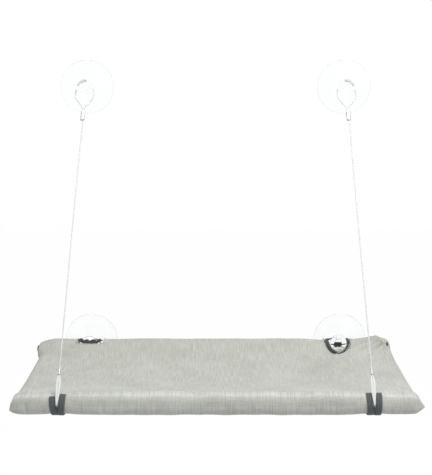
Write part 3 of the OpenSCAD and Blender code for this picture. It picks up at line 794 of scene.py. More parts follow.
def cover_points(stations, arc_n, span_n, base_n):
    """The cover as rings round its section, one for each station across it. Each ring goes up
    the front rail's arc, over the sagging span, down the back rail's arc and back along the underside.
    Near the two ends the ring flattens to a soft edge and the rail pinches in behind the corner."""
    share = np.abs(stations)[:, None]
    x0 = stations[:, None] * sizes().corner_right
    drop = drop_at(stations)[:, None]
    lean = np.arctan(2 * drop / HALF_DEPTH)
    lean_deg = np.degrees(lean)
    start = HALF_DEPTH - COVER_R * np.sin(lean)
    i = np.linspace(0, 1, arc_n)[None, :]
    front_b = 180 - (180 + lean_deg) * i
    front = rail_arc(-1, front_b, rail_profile(front_b, x0 + 0 * front_b))
    span_y = start * np.linspace(-1, 1, span_n + 2)[None, 1:-1]
    span = np.stack([span_y, sag_height(drop, span_y), np.ones_like(span_y)], -1)
    back = rail_arc(1, -lean_deg + (180 + lean_deg) * i, COVER_R)
    base_y = HALF_DEPTH * np.linspace(1, -1, base_n + 2)[None, 1:-1] + 0 * drop
    belly = 1.2 * MM * (1 - (base_y / HALF_DEPTH) ** 2)
    base = np.stack([base_y, -COVER_R - belly, np.zeros_like(base_y)], -1)
    ring = np.concatenate([front, span, back, base], 1)
    y, z, top = ring[..., 0], ring[..., 1], ring[..., 2]
    # The ends close to a soft edge just under the axis: soon and bluntly at the back, where the
    # elbows fill the corners, late and to a point in the empty ears at the front. The left ear droops
    at_back = ease(y, 0.35 * HALF_DEPTH, 0.9 * HALF_DEPTH)
    at_front = ease(-y, 0, HALF_DEPTH)
    right = (stations[:, None] > 0) * np.ones_like(y)
    front_right = right * at_front
    edge_z = -(1.5 + 4.4 * at_front * (1 - right)) * MM
    edge = 0.955 - (0.085 - 0.08 * right) * at_back - 0.008 * front_right - 0.018 * at_front * (1 - right)
    least = 0.12 + (0.26 + 0.22 * right) * at_back - 0.06 * front_right
    q = np.clip((share - edge) / (1 - edge), 0, 1)
    closing = np.sqrt(1 - q * q) * (1 - front_right) + (1 - q ** 1.7) * front_right
    keep = least + (1 - least) * closing
    keep = keep * (1 - 0.35 * at_back * ease(share, 0.99, 1) ** 2)
    pinch = 1 - 0.035 * bump_at(share, 0.945, 0.014) * ease(-y, 0.6 * HALF_DEPTH, HALF_DEPTH)
    z = edge_z + (z - edge_z) * keep * pinch
    y = y * (1 - (COVER_R / HALF_DEPTH) / 4 * (1 - keep) * (1 - at_back))
    x = stations[:, None] * half_width_at(y, stations[:, None])
    top = top * ease(z, 0, 6 * MM) * (1 - ease(share, 0.965, 1))
    z = z + top * cloth_folds(x, y)
    return np.stack([x, MIDDLE_Y + y, RAIL_Z + z], -1)


def cover_top(x, y):
    """Height of the cover's top, or of its back rail, at places inside its outline."""
    share = x / half_width_at(y, x)
    drop = drop_at(share)
    a = np.arctan(2 * drop / HALF_DEPTH)
    start = HALF_DEPTH - COVER_R * np.sin(a)
    arc = np.sqrt(np.maximum(COVER_R ** 2 - (np.abs(y) - HALF_DEPTH) ** 2, 0))
    return np.where(np.abs(y) < start, sag_height(drop, y), arc) + cloth_folds(x, y)


def notch_outline(side, count):
    """The outline of one opening seen from above, from the back left along the round end to the
    back right: straight sides, then half an ellipse."""
    centre, straight, round_end, _ = NOTCHES[side]
    half = sizes().notch_half
    a = np.linspace(math.pi, 0, count)
    x = half * np.cos(a)
    y = -straight - round_end * np.sin(a)
    x = np.concatenate([[-half], x, [half]])
    y = np.concatenate([[0], y, [0]])
    return centre + x, HALF_DEPTH + y


def notch_cutter(side):
    """A solid through the cover in the outline of one opening, which runs on past the back."""
    x, y = notch_outline(side, 40)
    x = np.concatenate([x[:1], x, x[-1:]])
    y = np.concatenate([[HALF_DEPTH + 2 * COVER_R], y, [HALF_DEPTH + 2 * COVER_R]])
    n = len(x)
    low = np.stack([x, MIDDLE_Y + y, np.full(n, RAIL_Z - 2 * COVER_R)], 1)
    high = low + [0, 0, 4 * COVER_R]
    points = np.concatenate([low, high])
    i = np.arange(n)
    k = (i + 1) % n
    walls = np.stack([i, k, n + k, n + i], 1)
    caps = np.stack([i[::-1], n + i])
    piece = put_mesh("cutter_" + side, points, [walls, caps])
    point_outwards(piece)
    return piece


def make_corner_shade_nubs():
    """A black ellipsoid at each back corner of the cover: painted shade for a small dark opening there,
    in the elbows' black nylon, though both lie at or past the elbows' outer ends. Each is
    x = a cos u, y = b sin u cos v, z = c sin u sin v."""
    for name, place, half in (
        ("right", (261.4, -37, -197.0), (2.6, 8, 6.4)),
        ("left", (-272.0, -30, -203.2), (1.7, 5, 5.8)),
    ):
        u = np.linspace(0, math.pi, 16)[None, :, None]
        v = np.linspace(0, 2 * math.pi, 24, endpoint=False)[:, None, None]
        one = np.ones_like(u * v)
        points = np.concatenate([np.cos(u) * one, np.sin(u) * np.cos(v), np.sin(u) * np.sin(v)], -1)
        points = (np.array(place) + np.array(half) * points) * MM
        cells = grid_cells(24, 16, wrap_rows=True)
        piece = put_mesh(f"corner_shade_{name}", points.reshape(-1, 3), [cell_corners(cells, 24, 16)])
        point_outwards(piece)
        dress(piece, bpy.data.materials["black_nylon"], "black_plastic", "platform")


def cut_away(piece, cutter):
    """Takes a cutter's volume off a piece and deletes the cutter."""
    cut = piece.modifiers.new("cut", "BOOLEAN")
    cut.operation = "DIFFERENCE"
    cut.solver = "EXACT"
    cut.object = cutter
    with bpy.context.temp_override(object=piece, active_object=piece, selected_objects=[piece]):
        bpy.ops.object.modifier_apply(modifier=cut.name)
    bpy.data.objects.remove(cutter)


def end_cap(ring, base, flip):
    """Triangles over an end of the cover, zipped between the ring's upper run and its lower run
    from front to back, so that the end keeps the ring's outline."""
    y = ring[:, 1]
    n = len(y)
    front, back = int(np.argmin(y)), int(np.argmax(y))
    upper = list(range(front, back + 1))
    lower = [i % n for i in range(front + n, back - 1, -1)]
    i = j = 0
    faces = []
    while i < len(upper) - 1 or j < len(lower) - 1:
        step_up = j == len(lower) - 1 or (i < len(upper) - 1 and y[upper[i + 1]] <= y[lower[j + 1]])
        if step_up:
            face = (upper[i], upper[i + 1], lower[j])
            i += 1
        else:
            face = (upper[i], lower[j + 1], lower[j])
            j += 1
        if len(set(face)) == 3:
            faces.append(face[::-1] if flip else face)
    return np.array(faces) + base


def make_cover():
    """The padded linen cover, with its openings cut."""
    # The stations lie closer together towards both ends
    q = np.linspace(-1, 1, 241)
    stations = 1.15 * q - 0.15 * q ** 3
    arc_n, span_n, base_n = 30, 104, 44
    rings = cover_points(stations, arc_n, span_n, base_n)
    rows, columns = rings.shape[:2]
    cells = grid_cells(rows, columns, wrap_columns=True)
    middle_ring = rings[rows // 2]
    along = arc_length(middle_ring, closed=True)
    across = stations * sizes().waist_left
    uv = section_uv(cells, across, along)
    points = rings.reshape(-1, 3)
    caps = np.concatenate([end_cap(rings[0], 0, False), end_cap(rings[-1], (rows - 1) * columns, True)])
    cap_cells = np.stack([caps // columns, caps % columns], -1)
    uv = np.concatenate([uv, section_uv(cap_cells, across, along)])
    cover = put_mesh("linen_cover", points, [cell_corners(cells, rows, columns), caps], uv)
    point_outwards(cover)
    for side in NOTCHES:
        cut_away(cover, notch_cutter(side))
    cover.data.set_sharp_from_angle(angle=math.radians(50))
    dress(cover, linen_canvas(), "linen", "platform", "cover")
    return cover


def binding_path(side):
    """The bound edge of an opening: over the top round the cup, down the back rail's end, back
    under the cover and up the other end."""
    x, y = notch_outline(side, 60)
    centre_x = NOTCHES[side][0]
    top = np.stack([x, y, cover_top(x, y)], 1)
    under = np.stack([x, y, np.full_like(x, -COVER_R - 0.1 * MM)], 1)[::-1]
    b = np.radians(np.linspace(4, 176, 24))
    end = np.stack([np.full_like(b, 0), HALF_DEPTH + COVER_R * np.sin(b), COVER_R * np.cos(b)], 1)
    right = end + [x[-1], 0, 0]
    left = end[::-1] + [x[0], 0, 0]
    path = np.concatenate([top, right, under, left]) + [0, MIDDLE_Y, RAIL_Z]
    path = resample(path, 240, closed=True)
    centre = np.array([centre_x, BACK_Y - 14 * MM, RAIL_Z])
    return path, path - centre


def make_bindings():
    """A narrow bias binding sewn round each opening at the lower cups, with stitches 2.6 mm long."""
    for side in NOTCHES:
        path, outward = binding_path(side)
        stitch = 1 + 0.08 * np.sin(arc_length(path, closed=True)[:-1] / (2.6 * MM) * 2 * math.pi)
        ring = circle(sizes().binding, 12)[None] * stitch[:, None, None]
        piece = sweep(f"notch_binding_{side}", path, outward, ring, closed=True)
        dress(piece, bpy.data.materials["linen_canvas"], "linen", "platform")


def make_flap():
    """The closing flap: a hemmed strip of the same cloth, sewn behind the slit and pressed down
    over the fastener strips. Its section comes down by a smooth step and is carried along X, and
    its free edge waves by two sines of x."""
    low, high = corners("closing_flap")
    thick = 1.5 * MM
    top = high[2]
    step = top - low[2] - thick
    y = np.linspace(high[1], low[1], 40)
    share = ease(high[1] - y, 8 * MM, 11.5 * MM)
    z = top - thick / 2 - step * share
    hem = 0.25 * MM * (bump_at(y, low[1] + 5 * MM, 0.8 * MM) + bump_at(y, high[1] - 4 * MM, 0.8 * MM))
    x = np.linspace(low[0], high[0], 260)
    upper = z + thick / 2 - hem
    lower = z - thick / 2 + hem
    outline_y = np.concatenate([y, y[::-1]])
    outline_z = np.concatenate([upper, lower[::-1]])
    wave = 0.25 * MM * np.sin(x / (34 * MM)) + 0.15 * MM * np.sin(x / (13 * MM))
    free = np.concatenate([share, share[::-1]])
    rings = np.stack([
        x[:, None] + 0 * outline_y[None],
        outline_y[None] + 0 * x[:, None],
        outline_z[None] - np.abs(wave)[:, None] * free[None] * bump_at(outline_y, low[1], 9 * MM)[None],
    ], -1)
    rows, columns = rings.shape[:2]
    cells = grid_cells(rows, columns, wrap_columns=True)
    along = arc_length(rings[0], closed=True)
    uv = section_uv(cells, x, along)
    i = np.arange(len(y) - 1)
    end = np.stack([i, i + 1, columns - 2 - i, columns - 1 - i], 1)
    far = end[:, ::-1] + (rows - 1) * columns
    uv = np.concatenate([uv, np.zeros((len(end) * 8, 2))])
    faces = [cell_corners(cells, rows, columns), end, far]
    piece = put_mesh("closing_flap_cloth", rings.reshape(-1, 3), faces, uv)
    point_outwards(piece)
    dress(piece, bpy.data.materials["linen_canvas"], "linen_flap", "platform", "closing_flap")


# Suction cups

def cup_profile():
    """Radius and height of a cup from the middle of its hollow, round the sealing lip, over the
    dome and up the neck to the mushroom head. The dome's height goes by the power of 1.3 of the
    way in from the rim."""
    front = -CUP_FRONT_Y / MM
    under = [
        (0, 2.4), (12, 2.4), (24, 2.2), (29.6, 1.2), (32, 0.02), (36, 0.0), (38.6, 0.0), (39.6, 0.25),
    ]
    rim = [(40, 0.7), (39.6, 1.15)]
    rim_r, dome_rise, dome_width = 40, 8.3, 27
    r = np.linspace(38.8, 13.6, 16)
    dome = np.stack([r, 1.2 + dome_rise * ((rim_r - r) / dome_width) ** 1.3], 1)
    neck = [
        (12.4, 9.75), (10, 10.2), (7, 10.9), (5, 12.4), (4.1, 15), (4, 20), (4, 26), (4.3, 28.6),
        (5.6, 30.1),
    ]
    head = [
        (9, 30.6), (11.4, 30.9), (12.3, 31.8), (12.5, 33), (12.2, 34.6), (11, 36.1), (9, 37.1), (6, 37.7),
        (3, front - 0.05), (0, front),
    ]
    return np.concatenate([under, rim, dome, neck, head]) * MM


def refine(profile, per_span):
    """More points on a profile by a smooth curve, kept on its side of the axis."""
    p = np.concatenate([profile, np.zeros((len(profile), 1))], 1)
    fine = smooth_path(p, per_span)[:, :2]
    fine[:, 0] = np.maximum(fine[:, 0], 0)
    return fine


def tab_swell(a, r, h):
    """Growth of the lip into a pull tab 7 mm wide at the top: the outer lip moves out and gets
    thicker where the width across, r times cos a, is under half the tab's width."""
    half_tab, tab_out, tab_up = 3.5 * MM, 3.4 * MM, 2.0 * MM
    across = np.abs(r * np.cos(a)) / half_tab
    tab = np.where(np.sin(a) > 0, 1 - ease(across, 0.75, 1.15), 0)
    outer = ease(r, 33 * MM, 39.5 * MM)
    upper = ease(h, 0.4 * MM, 1.0 * MM)
    round_end = np.sqrt(np.clip(1 - across ** 2, 0, 1))
    return tab_out * tab * outer * round_end, tab_up * tab * upper * ease(r, 31 * MM, 34 * MM)


def lean_at(height):
    """How far the lower right cup leans to the left, and half as far up, at a height above the
    pane: a smooth step up its neck."""
    return sizes().head_lean * ease(height, 10 * MM, 33 * MM)


def lean_head(piece):
    """Bends a cup's soft neck, so that its head leans to the left and up."""
    co = np.empty(len(piece.data.vertices) * 3, dtype=np.float32)
    piece.data.vertices.foreach_get("co", co)
    co = co.reshape(-1, 3)
    lean = lean_at(-co[:, 1])
    co[:, 0] -= lean
    co[:, 2] += lean / 2
    piece.data.vertices.foreach_set("co", co.ravel())
    piece.data.update()


def make_cups():
    """Four clear cups, turned from one profile, each with its tab."""
    material = clear_pvc()
    profile = refine(cup_profile(), 3)
    for node, x, z in CUP_PLACES:
        piece = lathe(node + "_moulded", profile, 144, (x, 0, z), tab_swell)
        if node == "suction_cup_lower_right":
            lean_head(piece)
        dress(piece, material, "clear_pvc", "wall_set", node)


# Wire ropes

def level_across(along):
    """The unit vector across a line that is nearest to the X axis."""
    return unit(np.array([1.0, 0, 0]) - along[0] * along)


def wire_line(side):
    """The rope's centreline: its cut end in the ferrule, out round the neck and back, then straight
    down to the lower ferrule. It repeats the CAD route from the same lengths."""
    loop_y = -24.9 * MM
    tail = 15 * MM
    eye_length = 37.5 * MM
    hang = np.array([side * CUP_X, loop_y, UPPER_CUP_Z])
    meet = meeting_place(side)
    along = unit(meet - hang)
    across = level_across(along)
    _, ferrule_high = corners("upper_ferrule_" + side_name(side))
    start = (hang[2] - ferrule_high[2]) / -along[2] + 0.6 * MM
    end = start + tail
    leg = 1.175 * MM
    half = 13.7 * MM
    top = 8.1 * MM
    places = [
        (-leg, end), (-leg, start), (-leg * 2, start - 7 * MM), (-half * 0.86, 21 * MM), (-half, 13 * MM),
        (-half * 0.93, 5 * MM), (-8 * MM, -4.6 * MM), (-3.6 * MM, -top), (0, -top - 0.5 * MM),
    ]
    loop = places + [(-u, s) for u, s in places[-2::-1]]
    run_end = np.linalg.norm(meet - hang) - eye_length
    loop += [(leg * 0.9, end + 4 * MM), (leg * 0.3, end + 60 * MM), (0, end + 130 * MM)]
    loop += [(0, s) for s in np.linspace(end + 170 * MM, run_end, 8)]
    u, s = np.array(loop).T
    path = hang + u[:, None] * across + s[:, None] * along
    return path, np.cross(along, across)


def meeting_place(side):
    """Where the wire's line reaches the eye's lower end, over the front rail."""
    low, _ = corners("wire_eye_" + side_name(side))
    half_rod = 0.9 * MM
    return np.array([side * BAND_X, low[1] + half_rod, low[2] + half_rod])


def make_ropes():
    """Two steel ropes of six strands: the radius dips between strands, which turn once every 12 mm."""
    material = galvanised_rope()
    r = sizes().rope / 2
    for side, name in SIDES:
        places, flat = wire_line(side)
        path = smooth_path(places, 16)
        path = resample(path, 620)
        s = arc_length(path)[:, None]
        phi = np.linspace(0, 2 * math.pi, 24, endpoint=False)[None]
        lay_length = 12 * MM
        lay = np.abs(np.cos(3 * (phi - s / lay_length * 2 * math.pi)))
        radius = r * (0.91 + 0.09 * lay)
        section = np.stack([radius * np.cos(phi), radius * np.sin(phi)], -1)
        outward = np.broadcast_to(flat, path.shape)
        piece = sweep(f"wire_rope_laid_{name}", path, outward, section)
        piece.data.materials.append(material)
        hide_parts("wire_rope_" + name)
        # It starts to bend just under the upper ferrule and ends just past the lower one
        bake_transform(piece)


def over_rail(s, start, along):
    """Places at distances along the wire's line, which bends round the front rail from where it
    touches it, and the way out of the rail at each place."""
    rail = np.array([0, FRONT_Y, RAIL_Z])
    flat = along * [0, 1, 1]
    steep = np.linalg.norm(flat)
    flat = flat / steep
    touch = ((rail - start) @ flat) / steep
    out = (start + touch * along - rail) * [0, 1, 1]
    radius = np.linalg.norm(out)
    turn = (np.maximum(s - touch, 0) * steep / radius)[:, None]
    places = start + np.minimum(s, touch)[:, None] * along
    places += radius * np.sin(turn) * flat + (np.cos(turn) - 1) * out
    places[:, 0] += np.maximum(s - touch, 0) * along[0]
    return places, np.sin(turn) * flat + np.cos(turn) * out / radius


def eye_line(side):
    """Where an eye starts, the way it runs, and its length to its end at 84 degrees round the rail."""
    start = middle("lower_ferrule_" + side_name(side))
    along = unit(meeting_place(side) - start)
    s = np.linspace(0, 60 * MM, 601)
    _, out = over_rail(s, start, along)
    b = np.degrees(np.arctan2(-out[:, 1], out[:, 2]))
    return start, along, float(np.interp(84, b, s))


def make_eyes():
    """A white sleeved eye on each wire: a stem that opens to a slim drop of two rods, bends over the
    rail and closes at the elastic. The rods' places follow a half sine, widest a third of the way."""
    material = white_sleeve()
    r = sizes().eye_rod
    for side, name in SIDES:
        start, along, reach = eye_line(side)
        across = level_across(along)
        first = 6 * MM
        t = np.linspace(0, 1, 60)
        s = first + (reach - first) * t
        wide = 1.7 * MM * np.sin(math.pi * np.clip(t * 0.98 + 0.01, 0, 1) ** 0.58) ** 0.9
        wide = np.maximum(wide, 0.05 * MM)
        places, _ = over_rail(s, start, along)
        down = places + wide[:, None] * across
        up = (places - wide[:, None] * across)[::-1]
        path = resample(np.concatenate([down, up]), 140, closed=True)
        nearest = np.argmin(np.linalg.norm(path[:, None] - places[None], axis=2), 1)
        place = s[nearest]
        _, outward = over_rail(place, start, along)
        full = ease(place, first, first + 9 * MM)
        tip = ease(place, reach - 24 * MM, reach - 4 * MM)
        thin = 0.5 + 0.5 * full - 0.45 * tip
        ring = circle(r, 18)[None] * thin[:, None, None]
        piece = sweep(f"wire_eye_sleeved_{name}", path, outward, ring, closed=True)
        dress(piece, material, "white_sleeve", "platform", "wire_eye_" + name)


# Elastic bands

# The two turns at each side of the front rail: half the way between them on top and under the
# rail, how far they lie to the right under it, and half as far on top, all in millimetres, and the
# angles at which they leave the cover
FRONT_TURNS = {
    "left": (7.2, 3.8, 0, (26, 12)),
    "right": (6.5, 4.8, 1, (3, 3)),
}


def band_turn(x_top, x_low, radius, slit, count=96):
    """One turn of elastic round the front rail: x goes by half a cosine from its place on top to its
    place under the rail, and back behind it. Behind the crest it runs inside the cover, which it
    leaves by a slit, and under the rail it is drawn in. The angles, the slit's too, run from the
    top towards the front."""
    b = np.linspace(0, 360, count, endpoint=False)
    share = (1 - np.cos(np.radians(b))) / 2
    x = x_top + (x_low - x_top) * share
    hidden = 4.2 * MM
    r = radius - hidden * (1 - ease(b, slit, slit + 19) * (1 - ease(b, 225, 245)))
    r = r - 2.8 * MM * tuck(b)
    y = FRONT_Y - r * np.sin(np.radians(b))
    z = RAIL_Z + r * np.cos(np.radians(b))
    path = np.stack([x, y, z], 1)
    return path, path - np.stack([x, np.full_like(x, FRONT_Y), np.full_like(x, RAIL_Z)], 1)


def join(name, pieces):
    """Several meshes as one piece."""
    first = pieces[0]
    with bpy.context.temp_override(active_object=first, object=first, selected_editable_objects=pieces):
        bpy.ops.object.join()
    first.name = name
    return first


def make_front_bands():
    """Elastic round the front rail at each wire: two turns that close in towards the bottom, a
    bridge between them and the end that goes through the eye."""
    material = braided_elastic()
    s = sizes()
    strip = rounded_strip(s.elastic_w * 1.12, s.elastic_t)
    radius = COVER_R + s.elastic_t / 2 + 0.15 * MM
    for side, name in SIDES:
        at_top, at_low, shift, slits = FRONT_TURNS[name]
        x = side * BAND_X
        parts = []
        for turn, slit in zip((-1, 1), slits):
            x_top = x + (turn * at_top + 0.5 * shift) * MM
            x_low = x + (turn * at_low + shift) * MM
            path, outward = band_turn(x_top, x_low, radius + 0.12 * turn * MM, slit)
            parts.append(sweep("turn", path, outward, strip, closed=True))
        b = np.radians(np.linspace(78, 196, 40))
        r = radius - 0.4 * MM - 2.9 * MM * tuck(np.degrees(b))
        bridge_x = x + shift * MM * np.sin(b / 2)
        bridge = np.stack([bridge_x, FRONT_Y - r * np.sin(b), RAIL_Z + r * np.cos(b)], 1)
        outward = bridge - [x, FRONT_Y, RAIL_Z]
        grow = ease(np.degrees(b), 84, 118)[:, None]
        grown = np.stack([0.22 + 0.78 * grow, 0.6 + 0.4 * grow], -1)
        section = rounded_strip(s.elastic_w * 0.9, s.elastic_t)[None] * grown
        parts.append(sweep("bridge", bridge, outward, section))
        start, along, reach = eye_line(side)
        (end,), _ = over_rail(np.array([reach - 0.5 * MM]), start, along)
        a = np.linspace(0, 2 * math.pi, 28, endpoint=False)
        ring = np.stack([end[0] + 0 * a, end[1] + 1.9 * MM * np.cos(a), end[2] + 1.9 * MM * np.sin(a)], 1)
        parts.append(sweep("hook", ring, ring - end, rounded_strip(1.2 * MM, 0.8 * MM), closed=True))
        piece = join(f"front_elastic_{name}", parts)
        dress(piece, material, "grey_elastic", "platform", "front_band_" + name)


def loop_around(places, centre, face_share, width_share):
    """A closed elastic loop through places round a cup's head. It faces away from the head's
    axis, and where face_share is 1 it faces the room. Its width is scaled along the path, and it
    is drawn thin where it crosses the neck."""
    s = sizes()
    path = resample(smooth_path(places, 14, closed=True), 150, closed=True)
    rel = path - centre
    around = unit(np.stack([rel[:, 0], 0 * rel[:, 0], rel[:, 2] + 2 * MM], 1))
    face = face_share(rel[:, 0], rel[:, 2])[:, None]
    outward = unit(around * (1 - face) + np.array([0, -1.0, 0.12]) * face)
    neck = 1 - ease(-rel[:, 1], 23 * MM, 31 * MM)
    strip = rounded_strip(s.elastic_w, s.elastic_t * 0.75)
    width = width_share(rel[:, 0], rel[:, 2]) * (1 - 0.7 * neck)
    section = strip[None] * np.stack([width, 1 - 0.4 * neck], -1)[:, None, :]
    return sweep("loop", path, outward, section, closed=True)


def right_face(x, z):
    """How far the right loop faces the room: fully left of the head, and partly right of it."""
    return ease(-x, 0, 8 * MM) + (0.3 + 0.45 * ease(z, -4 * MM, 2 * MM)) * ease(x, 9 * MM, 13 * MM)


def right_width(x, z):
    """The right loop's width as a share: broader at the upper left, narrower at the bottom."""
    broad = 0.16 * ease(-x, 8 * MM, 15 * MM) * ease(z, -10 * MM, 2 * MM)
    return 1 + broad - 0.1 * ease(-z, 8 * MM, 13 * MM)


def cross_strap(centre):
    """The loop's second run, which crosses the front of the head. It is drawn to a thin edge at
    both sides and flattened to an oval over the crown: its width is a steep bell of x."""
    u = np.linspace(-1, 1, 90)
    x = (-0.7 + 11.4 * u) * MM
    away = np.abs(x + 1.7 * MM) / MM
    broad = 1 / (1 + (away / 5.6) ** 16)
    y = -38.9 * MM + 2.6 * MM * (np.abs(u) ** 3)
    path = centre + np.stack([x, y, (-1.2 + 0.2 * u) * MM], 1)
    strip = rounded_strip(2, 1.0)
    section = np.stack([
        strip[None, :, 0] * (0.8 + 3.15 * broad)[:, None] * MM,
        strip[None, :, 1] * (0.9 + 0.7 * broad)[:, None] * MM,
    ], -1)
    outward = np.stack([0 * u, -1 + 0 * u, 0 * u], 1)
    return sweep("cross", path, outward, section)


def slack_turn(centre):
    """The left loop's slack, gathered upright between the head and the cloth's edge. The ribbon's
    lower edge follows a shallow arc and its upper edge is scalloped by its gathers."""
    t = np.linspace(0, 1, 110)
    u = 2 * t - 1
    arc = 1 - u ** 2
    gather = np.sin(t * 40 + 0.8 * np.sin(t * 9))
    path = centre + np.stack([
        19.4 * MM * u,
        (-41.6 - 1.6 * arc) * MM + 0.6 * MM * gather,
        (8.7 - 2.7 * arc) * MM + 0.3 * MM * np.sin(t * 23),
    ], 1)
    lower = (0.5 + 3.0 * arc ** 1.2) * MM
    gathers = np.abs(np.sin(12.57 * t - 0.13)) * (1.6 + 1.2 * u ** 2) + 1.3 * ease(-u, 0.3, 0.8)
    upper = (0.2 + 2.4 * arc + gathers * ease(arc, 0, 0.35)) * MM
    unit_strip = rounded_strip(2, 1)
    scale = np.where(unit_strip[None, :, 0] > 0, lower[:, None], upper[:, None])
    thickness = np.broadcast_to(unit_strip[:, 1] * 3.2 * MM, scale.shape)
    section = np.stack([unit_strip[None, :, 0] * scale, thickness], -1)
    outward = np.stack([0.3 * np.cos(t * 40), -1 + 0 * t, 0.25 + 0.15 * np.sin(t * 17)], 1)
    return sweep("rear_elastic_slack", path, outward, section)


def right_loop(centre):
    """The right cup's loop, drawn to the left, and its second run across the head."""
    places = np.array([
        [0, -16.5, 4.6], [-5.6, -17.4, 3.6], [-10.6, -20.8, 3.2], [-15.4, -26.2, 3.2],
        [-17.8, -30.6, 1.8], [-17.4, -33.2, -1.2], [-15.2, -35.8, -5.8], [-11.4, -38.0, -10.6],
        [-6.2, -37.4, -14.4], [0, -35, -16.3], [6.2, -33.6, -15.2], [11.0, -32.8, -11.2],
        [13.6, -32.4, -5.6], [14.6, -31.2, 1.0], [13.6, -27.4, 4.2], [10.4, -21.6, 3.8],
        [5.6, -17.4, 3.6],
    ]) * MM + centre
    return [loop_around(places, centre, right_face, right_width), cross_strap(centre)]


def left_loop(centre):
    """The left cup's loop, which is the same on both sides of the cup."""
    half = np.array([
        [8, -18, 4.6], [13.4, -23.4, 3.8], [16.2, -29.4, 1.6], [17, -31.9, -4.4],
        [14.1, -32.4, -11.0], [7.6, -32.0, -15.0],
    ])
    places = np.concatenate([
        [[0, -16.5, 4.4]], half, [[0, -31.6, -16.0]], half[::-1] * [-1, 1, 1],
    ]) * MM + centre
    return [loop_around(places, centre, lambda x, z: 0 * x, lambda x, z: 1 + 0 * x)]


def make_rear_bands():
    """Elastic loops at the lower cups: over the neck, down both sides of the head and closed below
    it, in front of the back tube. The right one, drawn to the left, turns its face to the room on
    that side. The left one has its slack gathered in front of the head."""
    material = bpy.data.materials["braided_elastic"]
    # A darker copy of the elastic: painted shade on the run across the head
    sewn = braided_elastic("sewn_elastic", 0.4)
    for side, name in SIDES:
        centre = np.array([side * CUP_X, 0, LOWER_CUP_Z])
        if name == "left":
            parts = left_loop(centre)
            slack = slack_turn(centre + np.array([1.9, 0, 0]) * MM)
            dress(slack, material, "grey_elastic", "wall_set")
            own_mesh(slack)
        else:
            # The loop goes with the leaning head
            centre += lean_at(31 * MM) * np.array([-1, 0, 0.5])
            parts = right_loop(centre)
            parts[1].data.materials.append(sewn)
        parts[0].data.materials.append(material)
        piece = join(f"rear_elastic_{name}", parts)
        dress(piece, None, "grey_elastic", "wall_set", "rear_band_" + name)
        if name == "right":
            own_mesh(piece)


# Foam

def make_foam():
    """Foam sleeves on the rails. Each is one closed tube: out along its outer wall, in over its
    cut end and back along its bore. The outer wall is uneven by a sine three times round it, which
    shifts along it."""
    material = closed_foam()
    open_right = NOTCHES["right"][0] - sizes().notch_half - 1 * MM
    for node, y, outer in (
        ("front_foam", FRONT_Y, 12.2), ("back_foam_middle", BACK_Y, 13.2),
        ("back_foam_left", BACK_Y, 13.2), ("back_foam_right", BACK_Y, 13.2),
    ):
        first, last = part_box(node)[0][0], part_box(node)[1][0]
        if node == "back_foam_middle":
            last = open_right
        x = np.linspace(first, last, max(6, int((last - first) / (6 * MM))))
        # Each cut end bulges by 0.4 mm
        profile = np.concatenate([
            np.stack([x, np.full_like(x, outer * MM)], 1),
            [[last + 0.3 * MM, (outer - 1) * MM], [last + 0.4 * MM, 9.5 * MM], [last, 7 * MM]],
            np.stack([x[::-1], np.full_like(x, TUBE_R + 0.15 * MM)], 1),
            [[first, 7 * MM], [first - 0.4 * MM, 9.5 * MM], [first - 0.3 * MM, (outer - 1) * MM]],
        ])
        b = np.linspace(0, 2 * math.pi, 48, endpoint=False)[:, None]
        rough = 0.15 * MM * np.sin(3 * b + profile[None, :, 0] * 90)
        r = profile[None, :, 1] + rough * (profile[None, :, 1] > 8 * MM)
        ring = np.stack([profile[None, :, 0] + 0 * b, y + r * np.sin(b), RAIL_Z + r * np.cos(b)], -1)
        rows, columns = ring.shape[:2]
        cells = grid_cells(rows, columns, wrap_rows=True, wrap_columns=True)
        piece = put_mesh(node + "_sleeve", ring.reshape(-1, 3), [cell_corners(cells, rows, columns)])
        point_outwards(piece)
        dress(piece, material, "pale_foam", "platform", node)


# Carried over pieces

def finish_frame():
    """Finishes for the CAD nodes that keep their own shape."""
    nodes = frame["nodes"]
    finishes = {
        "ferrule": swaged_aluminium(),
        "tube": powder_coat(),
        "elbow": bpy.data.materials["black_nylon"],
        "hook_strip": nylon_pile("nylon_hooks", 900, "e2e2dc"),
        "loop_strip": nylon_pile("nylon_loops", 500, "dadad4"),
    }
    for name, node in nodes.items():
        for word, material in finishes.items():
            if word in name:
                node.data.materials.clear()
                node.data.materials.append(material)


# The stage

def aim(obj, place, target):
    """Puts a lamp or camera at a place and turns it to a target."""
    obj.location = place
    direction = Vector(target) - Vector(place)
    obj.rotation_euler = direction.to_track_quat("-Z", "Y").to_euler()


def add_lamp(name, place, target, size, watts):
    """A soft square area lamp."""
    data = bpy.data.lights.new(name, "AREA")
    data.shape = "SQUARE"
    data.size = size
    data.energy = watts
    lamp = bpy.data.objects.new(name, data)
    bpy.context.scene.collection.objects.link(lamp)
    aim(lamp, place, target)


def make_camera():
    """The photograph's camera: 1.68 m in front of the pane and 9.3 degrees down."""
    focal_pixels = 1105
    shift_pixels = 0.4
    tilt = 9.30
    data = bpy.data.cameras.new("camera")
    data.sensor_width = 36
    data.lens = focal_pixels / IMAGE_SIZE[1] * data.sensor_width
    data.clip_start = 0.01
    camera = bpy.data.objects.new("camera", data)
    bpy.context.scene.collection.objects.link(camera)
    camera.location = (0, -1.677, 0.240)
    camera.rotation_euler = (math.radians(90 - tilt), 0, 0)
    data.shift_x = shift_pixels / IMAGE_SIZE[1]
    bpy.context.scene.camera = camera


